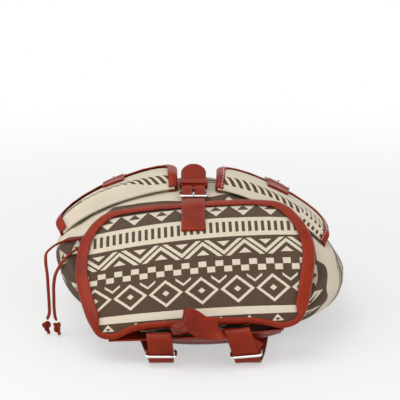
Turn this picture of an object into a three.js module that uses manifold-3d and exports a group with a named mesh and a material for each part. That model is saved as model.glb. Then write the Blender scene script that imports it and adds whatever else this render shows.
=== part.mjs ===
// A canvas backpack with leather trim, lying on its back with the lid drawn over the gathered mouth.
// Millimetres. +Z is up, the lid faces -Y, the base of the bag is at +Y, and +X is to the right of the lid.
import * as THREE from 'three';
import { mergeVertices } from 'three/addons/utils/BufferGeometryUtils.js';
import Module from 'manifold-3d';

const wasm = await Module();
wasm.setup();

// Sheet thicknesses and the clearance that touching pieces keep
const CLEARANCE = 0.3;
const CANVAS = 2.2;
const TRIM = 1.4;
const LEATHER = 1.8;

// Body: sections from the mouth to the base. Each runs from its lowest point on the back panel
// to its highest point on the front panel, given as (y, z).
const SECTIONS = [
  { back: [-168, 34], front: [-78, 112], left: 114, right: 112, leftWaist: 0.54, rightWaist: 0.45, top: 1.95, base: 2.2 },
  { back: [-170, 22], front: [-58, 127], left: 134, right: 130, leftWaist: 0.60, rightWaist: 0.42, top: 1.95, base: 2.1 },
  { back: [-150, 12], front: [-30, 140], left: 148, right: 149, leftWaist: 0.62, rightWaist: 0.40, top: 1.72, base: 2.1 },
  { back: [-105, 4.2], front: [5, 150], left: 155, right: 163, leftWaist: 0.61, rightWaist: 0.38, top: 1.55, base: 2.3 },
  { back: [-50, 3.0], front: [40, 152], left: 157, right: 169, leftWaist: 0.57, rightWaist: 0.38, top: 1.46, base: 2.4 },
  { back: [10, 3.0], front: [75, 143], left: 157, right: 168, leftWaist: 0.53, rightWaist: 0.39, top: 1.46, base: 2.5 },
  { back: [80, 3.0], front: [110, 128], left: 155, right: 161, leftWaist: 0.50, rightWaist: 0.42, top: 1.55, base: 2.6 },
  { back: [140, 5], front: [150, 111], left: 149, right: 152, leftWaist: 0.48, rightWaist: 0.46, top: 1.80, base: 2.7 },
  { back: [175, 12], front: [180, 97], left: 140, right: 142, leftWaist: 0.48, rightWaist: 0.48, top: 2.25, base: 2.8 },
  { back: [190, 28], front: [190, 82], left: 124, right: 125, leftWaist: 0.48, rightWaist: 0.48, top: 2.40, base: 2.9 },
];
const SEAM_DROP = 0.42;
const SIDE_SEAM = 0.4;
const BODY_ROWS = 20;
const FRONT_COLUMNS = 12;
const SIDE_COLUMNS = 8;
const BACK_COLUMNS = 10;

// Gathered mouth
const NECK_RADIUS = 20;
const NECK_RISE = 9;
const DOME_RISE = 10;
const HEM_RADIUS = 26;
const HEM_RISE = 17.5;
const PLEATS = 13;
const PLEAT_DEPTH = 1.5;
const MOUTH_CLOTH = 1.6;
const CORD_THICKNESS = 3.6;

// Lid: a crowned sheet that bends from its hinge edge over to its front edge.
// Its bend and outline are listed for a lid of LISTED_LENGTH and follow LID_LENGTH.
const LID_HINGE = [-190, 30];
const LID_ROLL = 4;
const LID_LENGTH = 185;
const LISTED_LENGTH = 185;
const LID_BEND = [[0, 8], [30, 40], [120, 56], [186, 82]];
const LID_CROWN = 0.0007;
const LID_CROWN_FRONT = 0.0004;
const LID_OUTLINE = [
  [-64, 13], [-86, 5.5], [-101, 9], [-110, 25], [-118, 50], [-125, 91], [-120, 136], [-108, 163], [-91, 180], [-68, 185],
  [0, 185], [76, 185], [100, 179], [116, 161], [128, 131], [132, 100], [126, 62], [117, 27], [108, 11], [93, 5.5],
  [64, 12], [0, 14],
];
const BINDING_WIDTH = 12.5;
const BINDING_ROOM = 0.7;
const LID_ROWS = 18;
const LID_COLUMNS = 22;

// Straps and their buckles
const STRAP_WIDTH = 26;
const STRAP = 2.4;
const WIRE = 2.8;
const FRAME_LENGTH = 20;
const FRAME_SIDE_ROOM = 0.5;
const PRONG_WIDTH = 2.2;
const PRONG_HUB_WALL = 1.5;
const PRONG_LIFT_ROOM = 1.6;
const HOLE_RADIUS = 2.1;
const HOLE_PITCH = 13;
const KEEPER_WIDTH = 9;
const KEEPER_WALL = 1.5;
const KEEPER_FROM_BAR = 9;
const TAB_LENGTH = 40;
const TIP_PAST_KEEPER = 27;
const TIP_HEIGHT = 10.5;

// Front pockets
const POCKET_START = 92;
const POCKET_LENGTH = 140;
const POCKET_INNER = 25;
const POCKET_WIDTH = 136;
const POCKET_DEPTH = 10;
const POCKET_EDGE_RISE = 20;
const POCKET_FOOT_RISE = 36;
const POCKET_SEAM = 7;
const FLAP_LENGTH = 62;
const FLAP_OVERHANG = 3.5;
const FLAP_SIDE_DROP = 0.35;
const FLAP_CORNER = 24;
const FLAP_TO_BAR = 25;
const POCKET_STRAP_START = 30;
const FLAP_BINDING_WIDTH = 9;
const FLAP_HINGE_RUN = 14;
const SEAT_ROOM = 0.3;

// Back yoke, corner tabs, grab handle and shoulder straps
const YOKE_HALF_WIDTH = 92;
const YOKE_RUNS = [12, 22, 34];
const CORNER_TAB_SIZE = 40;
const CORNER_TAB_ASIDE = 80;
const CORNER_TAB_FROM_BASE = 30;
const HANDLE_WIDTH = 24;
const SLIDE_WIRE = 2.8;

// Laces that hang from the mouth to knots beside the bag
const LACE_THICKNESS = 4.2;
const KNOT_LENGTH = 14;
const KNOT_WIDTH = 11;

const CANVAS_COLOUR = 0xd9ccb4;
const LEATHER_COLOUR = 0x9a3416;
const METAL_COLOUR = 0xc9c9c6;

function canvas() {
  return new THREE.MeshStandardMaterial({ color: CANVAS_COLOUR, roughness: 0.9, metalness: 0 });
}

function leather() {
  return new THREE.MeshStandardMaterial({ color: LEATHER_COLOUR, roughness: 0.42, metalness: 0 });
}

function metal() {
  return new THREE.MeshStandardMaterial({ color: METAL_COLOUR, roughness: 0.2, metalness: 1 });
}

const vec = (x, y, z) => new THREE.Vector3(x, y, z);
const lerp = (a, b, f) => a + (b - a) * f;
const clamp = (x, low, high) => Math.min(high, Math.max(low, x));
const smooth = (x) => clamp(x, 0, 1) ** 2 * (3 - 2 * clamp(x, 0, 1));
const range = (count) => Array.from({ length: count }, (_, i) => i);
const radians = THREE.MathUtils.degToRad;

// Straight-line value between listed pairs, held past both ends
function along(pairs, x) {
  const last = pairs.length - 1;
  if (x <= pairs[0][0]) return pairs[0][1];
  if (x >= pairs[last][0]) return pairs[last][1];
  const i = pairs.findIndex((pair, k) => k < last && x <= pairs[k + 1][0]);
  const [x0, y0] = pairs[i];
  const [x1, y1] = pairs[i + 1];
  return lerp(y0, y1, (x - x0) / (x1 - x0));
}

function spline(p0, p1, p2, p3, f) {
  const cubic = (3 * p1 - p0 - 3 * p2 + p3) * f ** 3;
  const square = (2 * p0 - 5 * p1 + 4 * p2 - p3) * f ** 2;
  return 0.5 * (2 * p1 + (p2 - p0) * f + square + cubic);
}

// Closed solid from a triangle list; its faces are turned outwards by the sign of its volume
function solidFrom(points, triangles) {
  let volume = 0;
  const [p, q] = [vec(0, 0, 0), vec(0, 0, 0)];
  for (const [a, b, c] of triangles) {
    p.copy(points[a]);
    q.copy(points[b]).cross(points[c]);
    volume += p.dot(q);
  }
  const geometry = new THREE.BufferGeometry();
  const flat = points.flatMap((point) => [point.x, point.y, point.z]);
  const turned = volume < 0 ? triangles.map(([a, b, c]) => [a, c, b]) : triangles;
  geometry.setAttribute('position', new THREE.Float32BufferAttribute(flat, 3));
  geometry.setIndex(turned.flat());
  geometry.computeVertexNormals();
  return geometry;
}

// Sheet with thickness: two grids of points of the same size, joined round their rim
function sheet(outer, inner, closedAcross = false) {
  const rows = outer.length;
  const columns = outer[0].length;
  const points = [...outer.flat(), ...inner.flat()];
  const at = (side, r, c) => side * rows * columns + r * columns + (c % columns);
  const triangles = [];
  const quad = (a, b, c, d) => triangles.push([a, b, c], [a, c, d]);
  const spans = closedAcross ? columns : columns - 1;
  for (const r of range(rows - 1)) {
    for (const c of range(spans)) {
      quad(at(0, r, c), at(0, r, c + 1), at(0, r + 1, c + 1), at(0, r + 1, c));
      quad(at(1, r, c), at(1, r + 1, c), at(1, r + 1, c + 1), at(1, r, c + 1));
    }
    if (!closedAcross) {
      quad(at(0, r, 0), at(0, r + 1, 0), at(1, r + 1, 0), at(1, r, 0));
      quad(at(0, r, spans), at(1, r, spans), at(1, r + 1, spans), at(0, r + 1, spans));
    }
  }
  for (const c of range(spans)) {
    quad(at(0, 0, c), at(1, 0, c), at(1, 0, c + 1), at(0, 0, c + 1));
    quad(at(0, rows - 1, c), at(0, rows - 1, c + 1), at(1, rows - 1, c + 1), at(1, rows - 1, c));
  }
  return solidFrom(points, triangles);
}

// Section swept through a list of rings of points; outline is the flat form of one ring, for its end caps
function sweep(rings, outline, closed = false) {
  const count = rings[0].length;
  const points = rings.flat();
  const triangles = [];
  const spans = closed ? rings.length : rings.length - 1;
  for (const r of range(spans)) {
    const here = r * count;
    const next = ((r + 1) % rings.length) * count;
    for (const c of range(count)) {
      const d = (c + 1) % count;
      triangles.push([here + c, here + d, next + d], [here + c, next + d, next + c]);
    }
  }
  if (!closed) {
    const flat = outline.map(([x, y]) => new THREE.Vector2(x, y));
    const cap = THREE.ShapeUtils.triangulateShape(flat, []);
    const end = (rings.length - 1) * count;
    const clockwise = THREE.ShapeUtils.isClockWise(flat);
    for (const [a, b, c] of cap) {
      const [near, far] = clockwise ? [[a, b, c], [a, c, b]] : [[a, c, b], [a, b, c]];
      triangles.push(near, far.map((i) => end + i));
    }
  }
  return solidFrom(points, triangles);
}

function toManifold(geometry) {
  const bare = geometry.clone();
  bare.deleteAttribute('normal');
  if (bare.getAttribute('uv')) bare.deleteAttribute('uv');
  const merged = mergeVertices(bare, 1e-4);
  const vertProperties = new Float32Array(merged.getAttribute('position').array);
  const triVerts = new Uint32Array(merged.getIndex().array);
  return new wasm.Manifold(new wasm.Mesh({ numProp: 3, vertProperties, triVerts }));
}

function fromManifold(body) {
  const mesh = body.getMesh();
  const geometry = new THREE.BufferGeometry();
  geometry.setAttribute('position', new THREE.BufferAttribute(new Float32Array(mesh.vertProperties), 3));
  geometry.setIndex(new THREE.BufferAttribute(new Uint32Array(mesh.triVerts), 1));
  geometry.computeVertexNormals();
  return geometry;
}

function cut(geometry, cutters) {
  return fromManifold(cutters.reduce((body, cutter) => body.subtract(toManifold(cutter)), toManifold(geometry)));
}

function join(...geometries) {
  const [first, ...rest] = geometries.map(toManifold);
  return fromManifold(rest.reduce((body, other) => body.add(other), first));
}

const pieces = new Map();

function piece(name, geometry, material) {
  const mesh = new THREE.Mesh(geometry, material);
  mesh.name = name;
  pieces.set(name, mesh);
  return mesh;
}

// Body surface. t runs from 0 at the mouth to 1 at the base. q runs round a section in quarters:
// 0 right side, 1 middle of the front, 2 left side, 3 middle of the back.
function sectionAt(t) {
  const x = clamp(t, 0, 1) * (SECTIONS.length - 1);
  const i = Math.min(Math.floor(x), SECTIONS.length - 2);
  const pick = (k) => SECTIONS[clamp(k, 0, SECTIONS.length - 1)];
  const blend = (read) => spline(read(pick(i - 1)), read(pick(i)), read(pick(i + 1)), read(pick(i + 2)), x - i);
  return {
    back: [blend((s) => s.back[0]), blend((s) => s.back[1])],
    front: [blend((s) => s.front[0]), blend((s) => s.front[1])],
    left: blend((s) => s.left),
    right: blend((s) => s.right),
    leftWaist: blend((s) => s.leftWaist),
    rightWaist: blend((s) => s.rightWaist),
    top: blend((s) => s.top),
    base: blend((s) => s.base),
  };
}

// Quarter of a rounded outline from its side point to its middle, walked in equal lengths
const QUARTER_STEPS = 28;
function quarter(wide, high, power) {
  const points = range(QUARTER_STEPS + 1).map((k) => {
    const angle = (k / QUARTER_STEPS) * (Math.PI / 2);
    return [wide * Math.cos(angle) ** (2 / power), high * Math.sin(angle) ** (2 / power)];
  });
  const lengths = [0];
  for (const k of range(QUARTER_STEPS)) {
    lengths.push(lengths[k] + Math.hypot(points[k + 1][0] - points[k][0], points[k + 1][1] - points[k][1]));
  }
  const total = lengths[QUARTER_STEPS];
  const walk = (axis) => lengths.map((length, k) => [length, points[k][axis]]);
  const [xs, ys] = [walk(0), walk(1)];
  return { total, at: (f) => [along(xs, f * total), along(ys, f * total)] };
}

const rings = new Map();
function ringAt(t) {
  const key = t.toFixed(6);
  if (!rings.has(key)) {
    const section = sectionAt(t);
    const [dy, dz] = [section.front[0] - section.back[0], section.front[1] - section.back[1]];
    const tall = Math.hypot(dy, dz);
    const quarters = [
      quarter(section.right, (1 - section.rightWaist) * tall, section.top),
      quarter(section.left, (1 - section.leftWaist) * tall, section.top),
      quarter(section.left, section.leftWaist * tall, section.base),
      quarter(section.right, section.rightWaist * tall, section.base),
    ];
    rings.set(key, { section, tall, rise: [dy / tall, dz / tall], quarters });
  }
  return rings.get(key);
}

function bodyPoint(t, q) {
  const { section, tall, rise, quarters } = ringAt(t);
  const turn = ((q % 4) + 4) % 4;
  const index = Math.floor(turn);
  const onRight = index === 0 || index === 3;
  const upper = index < 2;
  const share = index % 2 === 0 ? turn - index : 1 - (turn - index);
  const [x, up] = quarters[index].at(share);
  const waist = (onRight ? section.rightWaist : section.leftWaist) * tall;
  const height = upper ? waist + up : waist - up;
  return vec(onRight ? x : -x, section.back[0] + rise[0] * height, section.back[1] + rise[1] * height);
}

const PROBE = 0.004;
function bodyNormal(t, q) {
  const [t0, t1] = [clamp(t - PROBE, 0, 1), clamp(t + PROBE, 0, 1)];
  const alongBag = bodyPoint(t1, q).sub(bodyPoint(t0, q));
  const round = bodyPoint(t, q + PROBE * 5).sub(bodyPoint(t, q - PROBE * 5));
  return alongBag.cross(round).normalize();
}

function bodySkin(t, q, off) {
  return bodyPoint(t, q).addScaledVector(bodyNormal(t, q), off);
}

// Address on the front or back: run is the length from the mouth along the middle line,
// aside is the length round the section from that line, positive to the right.
function middleLine(q) {
  const steps = 120;
  const table = [[0, 0]];
  for (const k of range(steps)) {
    const step = bodyPoint((k + 1) / steps, q).distanceTo(bodyPoint(k / steps, q));
    table.push([table[k][0] + step, (k + 1) / steps]);
  }
  return table;
}
const FRONT_LINE = middleLine(1);
const BACK_LINE = middleLine(3);

function frontAddress(run, aside) {
  const t = along(FRONT_LINE, run);
  const { quarters } = ringAt(t);
  const [upper, lower, side] = aside >= 0 ? [quarters[0], quarters[3], -1] : [quarters[1], quarters[2], 1];
  const [first, second] = [upper.total, lower.total];
  const reach = Math.abs(aside);
  const past = Math.max(0, reach - first) / second;
  return [t, 1 + side * (Math.min(reach, first) / first + past)];
}

function frontSkin(run, aside, off) {
  const [t, q] = frontAddress(run, aside);
  return bodySkin(t, q, off);
}

function backSkin(run, aside, off) {
  const t = along(BACK_LINE, run);
  const { quarters } = ringAt(t);
  const share = aside >= 0 ? aside / quarters[3].total : aside / quarters[2].total;
  return bodySkin(t, 3 + share, off);
}

// The front panel lies between two side panels; the back panel closes them underneath; the base closes the
// far end. Seams are given in quarters round the section.
function bodyPanel(from, to, columns) {
  const grid = (off) => range(BODY_ROWS + 1).map((r) => {
    const t = r / BODY_ROWS;
    const { quarters } = ringAt(t);
    const inset = (CLEARANCE / 2) / quarters[2].total;
    return range(columns + 1).map((c) => bodySkin(t, lerp(from + inset, to - inset, c / columns), off));
  });
  return sheet(grid(0), grid(-CANVAS));
}

piece('front_panel', bodyPanel(SIDE_SEAM, 2 - SIDE_SEAM, FRONT_COLUMNS), canvas());
piece('right_side_panel', bodyPanel(-SEAM_DROP, SIDE_SEAM, SIDE_COLUMNS), canvas());
piece('left_side_panel', bodyPanel(2 - SIDE_SEAM, 2 + SEAM_DROP, SIDE_COLUMNS), canvas());
piece('back_panel', bodyPanel(2 + SEAM_DROP, 4 - SEAM_DROP, BACK_COLUMNS), canvas());

function basePanel() {
  const end = SECTIONS[SECTIONS.length - 1];
  const shrink = CANVAS + 3 * CLEARANCE;
  const middle = vec(0, end.back[0], (end.back[1] + end.front[1]) / 2);
  const steps = 44;
  const rim = range(steps).map((k) => {
    const point = bodyPoint(1, (k / steps) * 4).sub(middle);
    const room = 1 - shrink / Math.min(Math.hypot(point.x, point.z), (end.front[1] - end.back[1]) / 2);
    return new THREE.Vector2(point.x * (1 - shrink / end.left), point.z * room);
  });
  const geometry = new THREE.ExtrudeGeometry(new THREE.Shape(rim), { depth: CANVAS, bevelEnabled: false });
  geometry.rotateX(Math.PI / 2);
  geometry.translate(middle.x, middle.y, middle.z);
  return geometry;
}
piece('base_panel', basePanel(), canvas());

// Mouth: a dome of canvas that the lace gathers into a pleated neck, with the hem standing up past it
function gatheredMouth() {
  const { section, rise } = ringAt(0);
  const middle = vec(0, (section.back[0] + section.front[0]) / 2, (section.back[1] + section.front[1]) / 2);
  const up = vec(0, -rise[1], rise[0]);
  const over = vec(0, rise[0], rise[1]);
  const columns = PLEATS * 4;
  const start = CLEARANCE + MOUTH_CLOTH;
  const flare = HEM_RADIUS - NECK_RADIUS;
  const profile = [
    { reach: 1, out: 0, rise: start, pleat: 0, wall: [0, -1] },
    { reach: 0.84, out: 0, rise: lerp(start, NECK_RISE, 0.6), pleat: 0.2, wall: [0, -1] },
    { reach: 0.58, out: 0, rise: lerp(start, NECK_RISE, 0.95), pleat: 0.5, wall: [0, -1] },
    { reach: 0.3, out: 0, rise: NECK_RISE, pleat: 0.8, wall: [0, -1] },
    { reach: 0.1, out: 0, rise: NECK_RISE, pleat: 0.9, wall: [0, -1] },
    { reach: 0, out: 0, rise: DOME_RISE + 1, pleat: 1, wall: [-1, 0] },
    { reach: 0, out: 0, rise: HEM_RISE - 1.5, pleat: 1, wall: [-1, 0] },
    { reach: 0, out: flare, rise: HEM_RISE + 2.5, pleat: 1.3, wall: [-0.6, 0.8] },
  ];
  const grid = (wall) => profile.map((row, r) => range(columns).map((c) => {
    const angle = (c / columns) * 2 * Math.PI;
    const rim = bodyPoint(0, (c / columns) * 4).sub(middle);
    const outward = vec(1, 0, 0).multiplyScalar(Math.cos(angle)).addScaledVector(over, Math.sin(angle));
    const pleat = row.pleat * PLEAT_DEPTH * Math.cos(PLEATS * angle);
    const onDome = row.reach > 0;
    const point = outward.clone().multiplyScalar(NECK_RADIUS).lerp(rim, row.reach);
    point.addScaledVector(outward, row.out + wall * row.wall[0] + (onDome ? 0 : pleat));
    point.addScaledVector(up, row.rise + wall * row.wall[1] + (onDome ? pleat : 0));
    return point.add(middle);
  }));
  return { geometry: sheet(grid(0), grid(MOUTH_CLOTH), true), middle, up };
}
const mouth = gatheredMouth();
piece('gathered_mouth', mouth.geometry, canvas());

// Leather lace that draws the neck closed
const laceRingRadius = NECK_RADIUS + PLEAT_DEPTH + CLEARANCE + CORD_THICKNESS / 2;
const laceRise = NECK_RISE + PLEAT_DEPTH + CLEARANCE + CORD_THICKNESS / 2 + 0.8;
const laceCentre = mouth.middle.clone().addScaledVector(mouth.up, laceRise);
const laceRing = piece('drawstring', new THREE.TorusGeometry(laceRingRadius, CORD_THICKNESS / 2, 6, 32), leather());
laceRing.quaternion.setFromUnitVectors(vec(0, 0, 1), mouth.up);
laceRing.position.copy(laceCentre);

// Lid surface: u across, v from the hinge edge to the front edge
const LID_STEPS = 240;
const lidScale = LID_LENGTH / LISTED_LENGTH;
const lidBend = LID_BEND.map(([v, tilt]) => [v * lidScale, tilt]);
const lidLine = [[0, LID_HINGE[0], LID_HINGE[1]]];
for (const k of range(LID_STEPS)) {
  const step = (LID_LENGTH * 1.1) / LID_STEPS;
  const tilt = radians(along(lidBend, (k + 0.5) * step));
  const [v, y, z] = lidLine[k];
  lidLine.push([v + step, y + Math.sin(tilt) * step, z + Math.cos(tilt) * step]);
}
const lidY = lidLine.map(([v, y]) => [v, y]);
const lidZ = lidLine.map(([v, , z]) => [v, z]);

function lidPoint(u, v, off) {
  const tilt = radians(along(lidBend, v));
  const crown = lerp(LID_CROWN, LID_CROWN_FRONT, smooth((v - LID_LENGTH * 0.8) / (LID_LENGTH * 0.2)));
  const lift = off - crown * u * u;
  const y = along(lidY, v) - Math.cos(tilt) * lift;
  const z = along(lidZ, v) + Math.sin(tilt) * lift - LID_HINGE[1];
  const roll = radians(LID_ROLL);
  return vec(u * Math.cos(roll) - z * Math.sin(roll), y, LID_HINGE[1] + u * Math.sin(roll) + z * Math.cos(roll));
}

// Closed smooth outline through chosen points, as flat pairs
function closedOutline(points, samples) {
  const curve = new THREE.CatmullRomCurve3(points.map(([x, y]) => vec(x, y, 0)), true, 'centripetal');
  return curve.getSpacedPoints(samples).slice(0, samples).map((p) => [p.x, p.y]);
}

function inwardNormals(outline, closed) {
  const count = outline.length;
  const at = (i) => outline[closed ? (i + count) % count : clamp(i, 0, count - 1)];
  return outline.map((_, i) => {
    const [ax, ay] = at(i - 1);
    const [bx, by] = at(i + 1);
    const length = Math.hypot(bx - ax, by - ay);
    return [(by - ay) / length, -(bx - ax) / length];
  });
}

// Section of a folded binding: two leaves joined round the edge of the cloth
function bindingSection(width) {
  const [high, low] = [BINDING_ROOM + TRIM, -CANVAS - BINDING_ROOM - TRIM];
  return [
    [0, high], [width, high], [width, high - TRIM], [TRIM, high - TRIM],
    [TRIM, low + TRIM], [width, low + TRIM], [width, low], [0, low],
  ];
}

function binding(outline, width, place, closed) {
  const section = bindingSection(width);
  const normals = inwardNormals(outline, closed);
  const rows = outline.map(([x, y], i) => section.map(([d, off]) => {
    return place(x + normals[i][0] * d, y + normals[i][1] * d, off);
  }));
  return sweep(rows, section, closed);
}

// Lowest and highest crossing of an outline with the line x = const
function crossings(outline, x) {
  const hits = [];
  outline.forEach(([x0, y0], i) => {
    const [x1, y1] = outline[(i + 1) % outline.length];
    if ((x0 <= x) !== (x1 <= x)) hits.push(lerp(y0, y1, (x - x0) / (x1 - x0)));
  });
  return [Math.min(...hits), Math.max(...hits)];
}

function insetOutline(outline, inset) {
  const normals = inwardNormals(outline, true);
  return outline.map(([x, y], i) => [x + normals[i][0] * inset, y + normals[i][1] * inset]);
}

// Cloth cut to a flat outline and laid on a surface
const EDGE_ROOM = TRIM + 2 * BINDING_ROOM;
const ROW_SPREAD = 1.3;
function laidCloth(edge, place, rows, columns) {
  const xs = edge.map(([x]) => x);
  const [low, high] = [Math.min(...xs), Math.max(...xs)];
  const grid = (off) => range(columns + 1).map((c) => {
    const x = lerp(low, high, 0.5 + 0.497 * Math.sin((c / columns - 0.5) * Math.PI));
    const [y0, y1] = crossings(edge, x);
    return range(rows + 1).map((r) => place(x, lerp(y0, y1, (r / rows) ** ROW_SPREAD), off));
  });
  return sheet(grid(0), grid(-CANVAS));
}

const lidOutline = closedOutline(LID_OUTLINE.map(([u, v]) => [u, v * lidScale]), 84);
const lidCloth = insetOutline(lidOutline, EDGE_ROOM);
piece('lid_panel', laidCloth(lidCloth, lidPoint, LID_ROWS, LID_COLUMNS), canvas());
piece('lid_binding', binding(lidOutline, BINDING_WIDTH, lidPoint, true), leather());

// Ribbon of leather along a line of centres. Each station gives its centre and the direction across.
function ribbon(stations, width, thickness) {
  const count = stations.length;
  const rows = stations.map((station, i) => {
    const before = stations[Math.max(i - 1, 0)].centre;
    const after = stations[Math.min(i + 1, count - 1)].centre;
    const forward = after.clone().sub(before).normalize();
    const across = station.across.clone().addScaledVector(forward, -station.across.dot(forward)).normalize();
    const face = across.clone().cross(forward);
    const half = (station.width ?? width) / 2;
    return [[-1, -1], [1, -1], [1, 1], [-1, 1]].map(([a, b]) => {
      return station.centre.clone().addScaledVector(across, a * half).addScaledVector(face, (b * thickness) / 2);
    });
  });
  return sweep(rows, [[-1, -1], [1, -1], [1, 1], [-1, 1]]);
}

// Smooth line of stations through chosen ones
function smoothStations(stations, samples) {
  const centres = new THREE.CatmullRomCurve3(stations.map((s) => s.centre), false, 'centripetal');
  const last = stations.length - 1;
  return range(samples + 1).map((k) => {
    const x = (k / samples) * last;
    const i = Math.min(Math.floor(x), last - 1);
    const across = stations[i].across.clone().lerp(stations[i + 1].across, smooth(x - i)).normalize();
    return { centre: centres.getPoint(k / samples), across };
  });
}

// Rounded tip: the last stretch narrows to a half circle
function roundTip(stations, width, tip) {
  const end = stations[stations.length - 1].centre;
  const radius = tip / 2;
  const rest = stations.filter((s) => s.centre.distanceTo(end) > radius);
  const base = rest[rest.length - 1];
  const flare = (s) => lerp(tip, width, smooth(s.centre.distanceTo(end) / (2.4 * radius) - 0.4));
  const kept = rest.map((s) => ({ ...s, width: flare(s) }));
  for (const share of [0.3, 0.55, 0.75, 0.9, 0.98]) {
    kept.push({
      centre: base.centre.clone().lerp(end, share),
      across: base.across,
      width: tip * Math.sqrt(1 - share ** 2),
    });
  }
  return kept;
}

// Wire bent to a closed rounded rectangle in the plane of two directions
function wireLoop(centre, wide, long, width, length, corner, wire, sides = 8) {
  const path = [];
  const corners = [[1, 1], [-1, 1], [-1, -1], [1, -1]];
  corners.forEach(([a, b], k) => {
    for (const f of [0, 1 / 3, 2 / 3, 1]) {
      const angle = (k + f) * (Math.PI / 2);
      path.push([
        a * (width / 2 - corner) + corner * Math.cos(angle),
        b * (length / 2 - corner) + corner * Math.sin(angle),
      ]);
    }
  });
  const face = wide.clone().cross(long).normalize();
  const place = ([x, y]) => centre.clone().addScaledVector(wide, x).addScaledVector(long, y);
  const rows = path.map((point, i) => {
    const before = path[(i + path.length - 1) % path.length];
    const after = path[(i + 1) % path.length];
    const forward = place(after).sub(place(before)).normalize();
    const side = face.clone().cross(forward);
    return range(sides).map((c) => {
      const angle = ((c + 0.5) / sides) * 2 * Math.PI;
      return place(point)
        .addScaledVector(side, (wire / 2) * Math.cos(angle))
        .addScaledVector(face, (wire / 2) * Math.sin(angle));
    });
  });
  return sweep(rows, null, true);
}

// Box given in a local frame: x across, s along the strap, h away from the bag
function boxIn(frame, [x0, x1], [s0, s1], [h0, h1]) {
  const box = new THREE.BoxGeometry(x1 - x0, s1 - s0, h1 - h0);
  box.translate((x0 + x1) / 2, (s0 + s1) / 2, (h0 + h1) / 2);
  return box.applyMatrix4(frame);
}

// Slot with round ends, cut square through the strap at s, and long enough for the prong to lean
function slotIn(frame, s, h, radius, length) {
  const shape = new THREE.Shape();
  const half = Math.max(length / 2 - radius, 0);
  shape.absarc(0, half, radius, 0, Math.PI);
  shape.absarc(0, -half, radius, Math.PI, 2 * Math.PI);
  const depth = 8;
  const slot = new THREE.ExtrudeGeometry(shape, { depth, bevelEnabled: false, curveSegments: 4 });
  slot.translate(0, s, h - depth / 2);
  return slot.applyMatrix4(frame);
}

// Heights above the bag at the back bar of a buckle, from the cloth outwards
const BAR_HEIGHT = CLEARANCE + LEATHER + CLEARANCE + WIRE / 2;
const FOLD_RADIUS = WIRE / 2 + CLEARANCE + LEATHER / 2;
const STRAP_OVER_BAR = BAR_HEIGHT + FOLD_RADIUS + LEATHER / 2 + CLEARANCE + STRAP / 2;
const KEEPER_LEG = 2 * CLEARANCE + LEATHER + KEEPER_WALL / 2;
const LEAF_OVER_LEG = KEEPER_LEG + KEEPER_WALL / 2 + CLEARANCE + LEATHER / 2;
const STRAP_AT_KEEPER = LEAF_OVER_LEG + LEATHER / 2 + CLEARANCE + STRAP / 2;
const STRAP_AT_FRONT = 6.3;
const FRONT_BAR = STRAP_AT_FRONT + STRAP / 2 + CLEARANCE + WIRE / 2;
const BAR_SPACING = FRAME_LENGTH - WIRE;

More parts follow.
